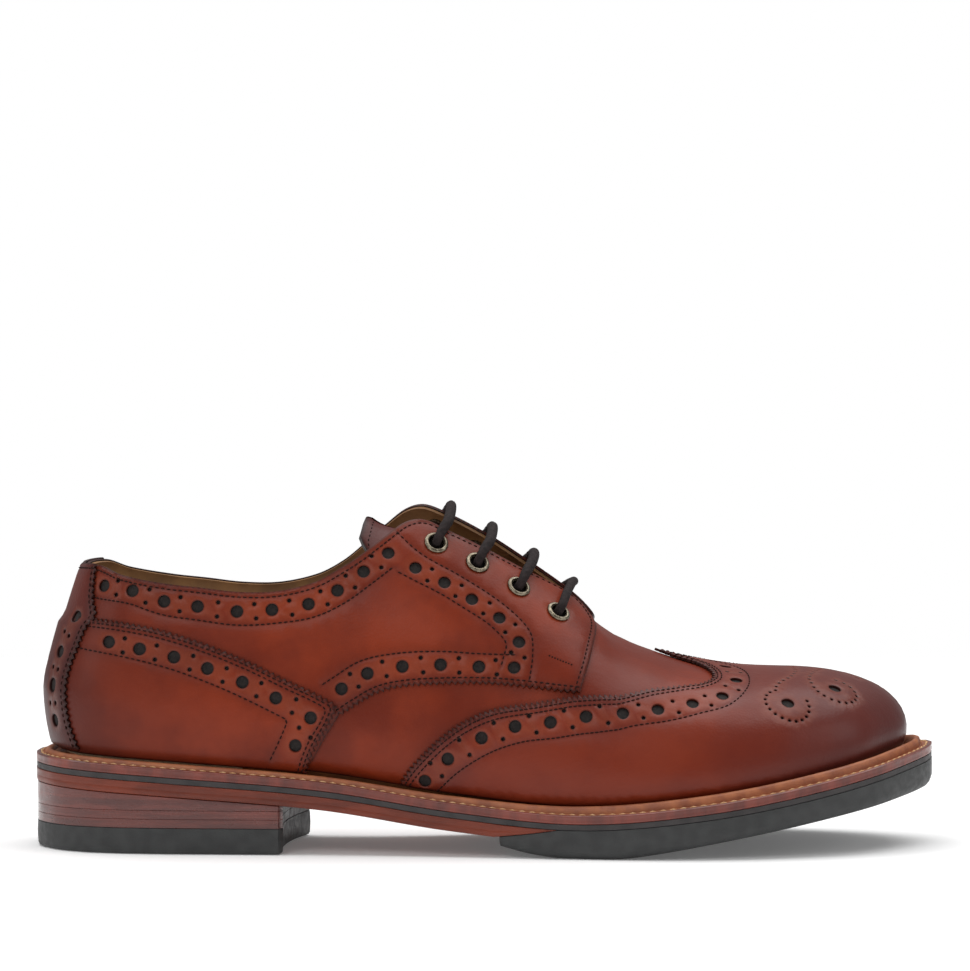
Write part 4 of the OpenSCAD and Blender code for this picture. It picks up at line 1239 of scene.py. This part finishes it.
def build_cap():
    edge = both_sides(CAP_WING, 0.5)
    outline = join(toe_foot(-28, 0.02), gimped(edge[::-1])[1:-1])
    halves = [on_flat(ToeMap, side, CAP_ROW) for side in (LATERAL, MEDIAL)]
    holes, row = punched(np.vstack([halves[0], [CAP_ROW_TOP], halves[1][::-1]]))
    rows = [*[beside(edge, -inset) for inset in DOUBLE_SEAM], beside(longer(row, 3), -4.4)]
    sewn_panel("wing_cap", ToeMap, outline, CAP, [toe_calf, underlay], unique_holes(holes + medallion()),
               rows, slot="toe_leather")


def build_lining(side):
    """Quarter lining, which closes up against the leather at its top edge."""
    top = draft(HeelMap, side, TOPLINE[side][:-1], 1.0) + [0, -0.35]
    down = upright(side, 33.5, 0.86, 0.01, 1.5)
    foot = sole_line(side, 33.5, -149.7, 0.01, 120)
    back = upright(side, -149.7, 0.01, 0.55, 1.2)
    short = top[np.abs(top[:, 0]) < abs(down[0, 0]) - 0.6]
    outline = join(short, down, foot[1:], back[1:-1])

    def closing_up(flat_map, xy, low, high):
        share = np.clip(1 - nearest(xy, short) / 9.0, 0, 1)
        out = LINING_OUT + 2.1 * share * share * (3 - 2 * share)
        return out - LINING_T, out

    sewn_panel(f"quarter_lining_{SIDES[side]}", HeelMap, outline, (LINING_OUT - LINING_T, LINING_OUT),
               [lining, lining], eyelet_holes(side), shape=closing_up, slot="lining_leather")


# ---------------------------------------------------------------- tongue
TONGUE_OUT, TONGUE_T = -7.45, 1.9
TONGUE_SIDE = [[-43, 0.76], [-40, 0.7], [-33, 0.65], [-20, 0.63], [20, 0.64], [36, 0.76], [47, 0.84]]
TONGUE_DROP = [[-43, 5], [-38, 5.9], [-32, 7.2], [-24, 5.8], [-14, 2.4], [-5, 0]]
TONGUE_FRONT = 46.0
TONGUE_HALF = 16


def tongue_point(s, v, depth):
    """v runs from -1 at the lateral edge to 1 at the medial edge; depth is 0 outside, 1 inside."""
    side = np.where(v < 0, LATERAL, MEDIAL)
    low = curve(TONGUE_SIDE, s) + np.where(v < 0, 0, 0.05)
    t = low + (0.995 - low) * (1 - np.abs(v))
    join_up = np.clip((s - 33) / 13, 0, 1)
    out = TONGUE_OUT + (VAMP[0] - 0.25 - TONGUE_OUT) * join_up * join_up * (3 - 2 * join_up)
    edge = np.clip((np.abs(v) - 0.9) / 0.1, 0, 1) ** 2
    thin = TONGUE_T * (1 - 0.45 * edge)
    p, n = lay(side, s, t, out - 0.3 * edge - thin * depth)
    p[:, 2] -= curve(TONGUE_DROP, s)
    end = tongue_end(v)
    p[:, 2] -= 0.7 * np.clip(1 - (s - end) / 2.0, 0, 1) ** 3
    return p, n


def tongue_end(v):
    """Station of the tongue's free end: further back on the lateral side, rounded at both corners."""
    far = np.abs(v)
    back = np.where(v < 0, 5.0, 1.5) * far**1.5
    return -36.4 - back + 8 * np.clip((far - 0.8) / 0.2, 0, 1) ** 2


def build_tongue():
    v = np.linspace(-1, 1, 2 * TONGUE_HALF + 1)
    u = np.linspace(0, 1, 60)
    vv, uu = np.meshgrid(v, u)
    start = tongue_end(vv)
    s = start + (TONGUE_FRONT - start) * uu
    outer = tongue_point(s.ravel(), vv.ravel(), 0.0)[0]
    inner = tongue_point(s.ravel(), vv.ravel(), 1.0)[0]
    rows, cols = s.shape
    n = rows * cols
    faces = []
    for i in range(rows - 1):
        for j in range(cols - 1):
            a, b = i * cols + j, (i + 1) * cols + j
            faces += [[a, b, b + 1, a + 1], [n + a, n + a + 1, n + b + 1, n + b]]
    numbers = np.arange(n).reshape(rows, cols)
    border = [*numbers[0], *numbers[1:, -1], *numbers[-1, -2::-1], *numbers[-2:0:-1, 0]]
    faces += [[a, b, n + b, n + a] for a, b in zip(border, border[1:] + border[:1])]
    # The edge share darkens the tongue's border: edge dye together with painted shade.
    near = np.minimum(1 - np.abs(vv), uu * 4).ravel()
    piece = mesh("tongue_leather", np.vstack([outer, inner]), faces, tongue_calf, body=None,
                 values={"edge": np.tile(np.exp(-near * 14), 2), "seam": np.zeros(2 * n)})
    merge_doubles(piece)
    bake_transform(piece)
    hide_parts("tongue")
    across = np.concatenate([np.full(30, -0.86), np.linspace(-0.82, 0.82, 34), np.full(30, 0.86)])
    end = tongue_end(across) + 2.6
    along = np.concatenate([np.linspace(8, end[29], 30), end[30:64], np.linspace(end[64], 8, 30)])
    path = tongue_point(along, across, 0.0)
    fine = resample(path[0], 2.0)
    d = unit(np.gradient(fine, axis=0))
    tree = tree_of(path[0])
    normals = np.array([path[1][tree.find(p)[1]] for p in fine])
    ellipsoids("tongue_stitches", fine, d, normals, 1.5, 0.27, thread, body=TONGUE, slot="lace_cotton")


# ---------------------------------------------------------------- eyelets and lace
LACE_D = 3.1
OVER = QUARTER_OUT_CAD + LACE_D / 2 + 1.45
UNDER = LINING_IN_CAD - LACE_D / 2 - 0.6
LEAN = 2.7
LACE_TOP, BAR_FULLNESS, BRAID_STEP = 90.0, 0.17, 0.5003
CLIMB = [(0, UNDER + 0.6), (0, -1.6), (0, 1.6), (0.04, OVER - 0.7), (0.4, OVER), (1.04, OVER - 0.5)]
TAIL_LOW = [
    (22, 0.72, 0), (18, 0.62, 0), (10, 0.52, 0), (-4, 0.43, 0), (-22, 0.35, 0.2), (-40, 0.31, 1),
    (-56, 0.29, 2.4)]
TAIL_HIGH = [
    (-18, 0.71, 0), (-21, 0.62, 0), (-27, 0.52, 0), (-38, 0.45, 0), (-52, 0.41, 0), (-66, 0.38, 0.8),
    (-80, 0.37, 2.6)]


def lifted(side, points):
    """Surface points (s, t, offset) of one side."""
    p = np.asarray(points, float)
    return lay(np.full(len(p), side), p[:, 0], p[:, 1], p[:, 2])[0]


def lean_share(side, u):
    """Each bar runs square to the sloping facing, so it lies further forward at the facings' edges."""
    return u if side == LATERAL else 1.35 * u**0.45


def bar(start, s):
    """One lace bar, out of the eyelet at station s on the start side and into the one across."""
    halves = []
    for side in (start, -start):
        edge_t = float(curve(TOPLINE[side][:-3], s + LEAN))
        t = EYELET_T[side]
        points = [(s + LEAN * lean_share(side, u), t + u * (edge_t - t), off) for u, off in CLIMB]
        halves.append(lifted(side, points))
    return np.vstack([halves[0], halves[1][::-1]])


def run_inside(side, s0, s1):
    return lifted(side, [(s0 + (s1 - s0) * u, EYELET_T[side], UNDER) for u in (0.22, 0.5, 0.78)])


def tail(points):
    return lifted(MEDIAL, [(s, t, UNDER - off) for s, t, off in points])


def lace_route():
    """Straight bar lacing: the bars run over from side to side in turn, and up inside between them."""
    route = [tail(TAIL_LOW)[::-1]]
    start = MEDIAL
    for s, following in zip(EYELET_S, EYELET_S[1:]):
        route += [bar(start, s), run_inside(-start, s, following)]
        start = -start
    return np.vstack([*route, bar(start, EYELET_S[-1]), tail(TAIL_HIGH)])


def rounded(route, step):
    u = lengths(route)
    v = np.arange(0, u[-1], 0.25)
    fine = np.column_stack([curve(np.column_stack([u, route[:, i]]), v) for i in range(3)])
    return resample(fine, step)


def build_lace():
    """Round braided lace: strands that cross over each other in both directions."""
    path = rounded(lace_route(), BRAID_STEP)
    eyelets = [lifted(side, [(s, EYELET_T[side], 0) for s in EYELET_S]) for side in SIDES]
    tree = tree_of(np.vstack(eyelets))
    sides, strands, lay_length = 18, 4, 5.2
    d = unit(np.gradient(path, axis=0))
    across = np.cross(d[0], [0.3, 0.5, 0.8])
    u = lengths(path)
    points = []
    for p, h, along in zip(path, d, u):
        across = unit(across - h * (across @ h))
        other = np.cross(h, across)
        a = np.linspace(0, 2 * math.pi, sides, endpoint=False)
        turn = 2 * math.pi * along / lay_length
        weave = np.maximum(np.cos(strands * a + turn * 2), np.cos(strands * a - turn * 2))
        loose = 1 + BAR_FULLNESS * np.clip((tree.find(p)[2] - 3.5) / 4, 0, 1) * (p[2] > LACE_TOP)
        r = LACE_D / 2 * loose * (0.93 + 0.07 * weave)
        points.append(p + np.outer(np.cos(a) * r, across) + np.outer(np.sin(a) * r, other))
    last = (len(path) - 1) * sides
    faces = [*tube_faces(len(path), sides), [*range(sides)][::-1], [*range(last, last + sides)]]
    mesh("lace_braid", np.vstack(points), faces, cotton, replaces=["lace"], slot="lace_cotton", angle=80)


EYELET_PROFILE = [
    (2.35, -2.9), (2.35, 1.0), (2.4, 1.7), (2.55, 2.2), (2.85, 2.5), (3.2, 2.56), (3.6, 2.46),
    (3.92, 2.2), (4.05, 1.85), (4.0, 1.66), (3.6, 1.62), (2.95, 1.62), (2.9, -2.9)]


def build_eyelets(side):
    """Four turned metal rims, each a profile of (radius, height) swept round its hole."""
    sides, points, faces = 40, [], []
    for s in EYELET_S:
        c, n = (found[0] for found in lay(np.array([side]), np.array([s]), np.array([EYELET_T[side]])))
        u = unit(np.cross(n, [0, 0, 1.0]))
        v = np.cross(n, u)
        start = len(points)
        for k in range(sides):
            a = 2 * math.pi * k / sides
            ray = u * math.cos(a) + v * math.sin(a)
            points += [c + ray * r + n * h for r, h in EYELET_PROFILE]
        faces += tube_faces(sides, len(EYELET_PROFILE), start, closed=True)
    name = f"eyelets_{SIDES[side]}"
    mesh(name + "_brass", points, faces, brass, replaces=[name], slot="eyelet_brass", angle=50)


# ---------------------------------------------------------------- the pieces
INNER_FINISH = {
    "insole": sock, "heel_pad": sock, "vamp_lining": lining, "toe_puff": board, "heel_stiffener": board,
    "insole_rib": board, "cork_filler": cork, "shank": steel, "heel_nails": nail_brass, "aglets": tip_plastic}


def finish_inner_nodes():
    """Looks for the CAD nodes that are shown as they are, inside the shoe."""
    for name, finish in INNER_FINISH.items():
        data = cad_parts[name].data
        data.materials.clear()
        data.materials.append(finish)
        data.polygons.foreach_set("material_index", [0] * len(data.polygons))


def build_shoe():
    finish_inner_nodes()
    build_welt()
    build_forepart()
    build_heel()
    build_vamp()
    build_cap()
    for side in SIDES:
        build_quarter(side)
        build_counter(side)
        build_lining(side)
        build_eyelets(side)
    build_strap()
    build_tongue()
    build_lace()


build_shoe()


# ---------------------------------------------------------------- stage, light and camera
def build_floor():
    made = new_material("studio_floor", Roughness=0.8, Specular_IOR_Level=0.2, Emission_Strength=0.1,
                        Emission_Color=(1, 1, 1, 1), Base_Color=(0.96, 0.96, 0.96, 1))[0]
    floor = bpy.data.meshes.new("floor")
    half, depth, lift = 1.6, 0.8, -0.0002
    corners = [(-half, -depth, lift), (half, -depth, lift), (half, depth, lift), (-half, depth, lift)]
    floor.from_pydata(corners, [], [(0, 1, 2, 3)])
    floor.materials.append(made)
    piece = bpy.data.objects.new("floor", floor)
    bpy.context.scene.collection.objects.link(piece)


def area_light(name, place, target, size, power):
    data = bpy.data.lights.new(name, "AREA")
    data.shape, data.size, data.size_y = "RECTANGLE", size[0], size[1]
    data.energy = power
    light = bpy.data.objects.new(name, data)
    light.location = place
    light.rotation_euler = (Vector(target) - Vector(place)).to_track_quat("-Z", "Y").to_euler()
    bpy.context.scene.collection.objects.link(light)


def build_world():
    """White sweep as seen by the camera, over a softer room that lights the shoe."""
    world = bpy.data.worlds.new("studio")
    bpy.context.scene.world = world
    world.use_nodes = True
    tree = world.node_tree
    room, sweep = (node(tree, "Background", i0=(1, 1, 1, 1), i1=light).outputs[0] for light in (0.3, 1.0))
    seen = node(tree, "LightPath").outputs["Is Camera Ray"]
    either = node(tree, "MixShader", i0=seen, i1=room, i2=sweep).outputs[0]
    tree.links.new(either, tree.nodes["World Output"].inputs[0])


def build_lights():
    build_world()
    area_light("top_softbox", (0.0, 0.3, 1.5), (0, 0.3, 0), (2.4, 1.6), 30)
    area_light("key_softbox", (-0.5, -1.3, 1.0), (0, 0, 0.06), (0.8, 0.5), 4.2)
    area_light("toe_softbox", (1.2, -0.4, 0.6), (0.08, 0, 0.05), (0.5, 0.7), 1.7)
    area_light("heel_softbox", (-1.2, -0.5, 0.5), (-0.1, 0, 0.06), (0.4, 0.7), 1.4)


CAMERA_PLACE = (0.0, -2.0, 0.217)
CAMERA_PITCH = 2.789
CAMERA_LENS = 222.68


def build_camera():
    data = bpy.data.cameras.new("camera")
    data.lens, data.sensor_width = CAMERA_LENS, 36.0
    data.clip_start, data.clip_end = 0.1, 50.0
    camera = bpy.data.objects.new("camera", data)
    camera.location = CAMERA_PLACE
    camera.rotation_euler = (math.radians(90 - CAMERA_PITCH), 0, 0)
    bpy.context.scene.collection.objects.link(camera)
    bpy.context.scene.camera = camera


build_floor()
build_lights()
build_camera()
bpy.context.scene.view_settings.view_transform = "Standard"
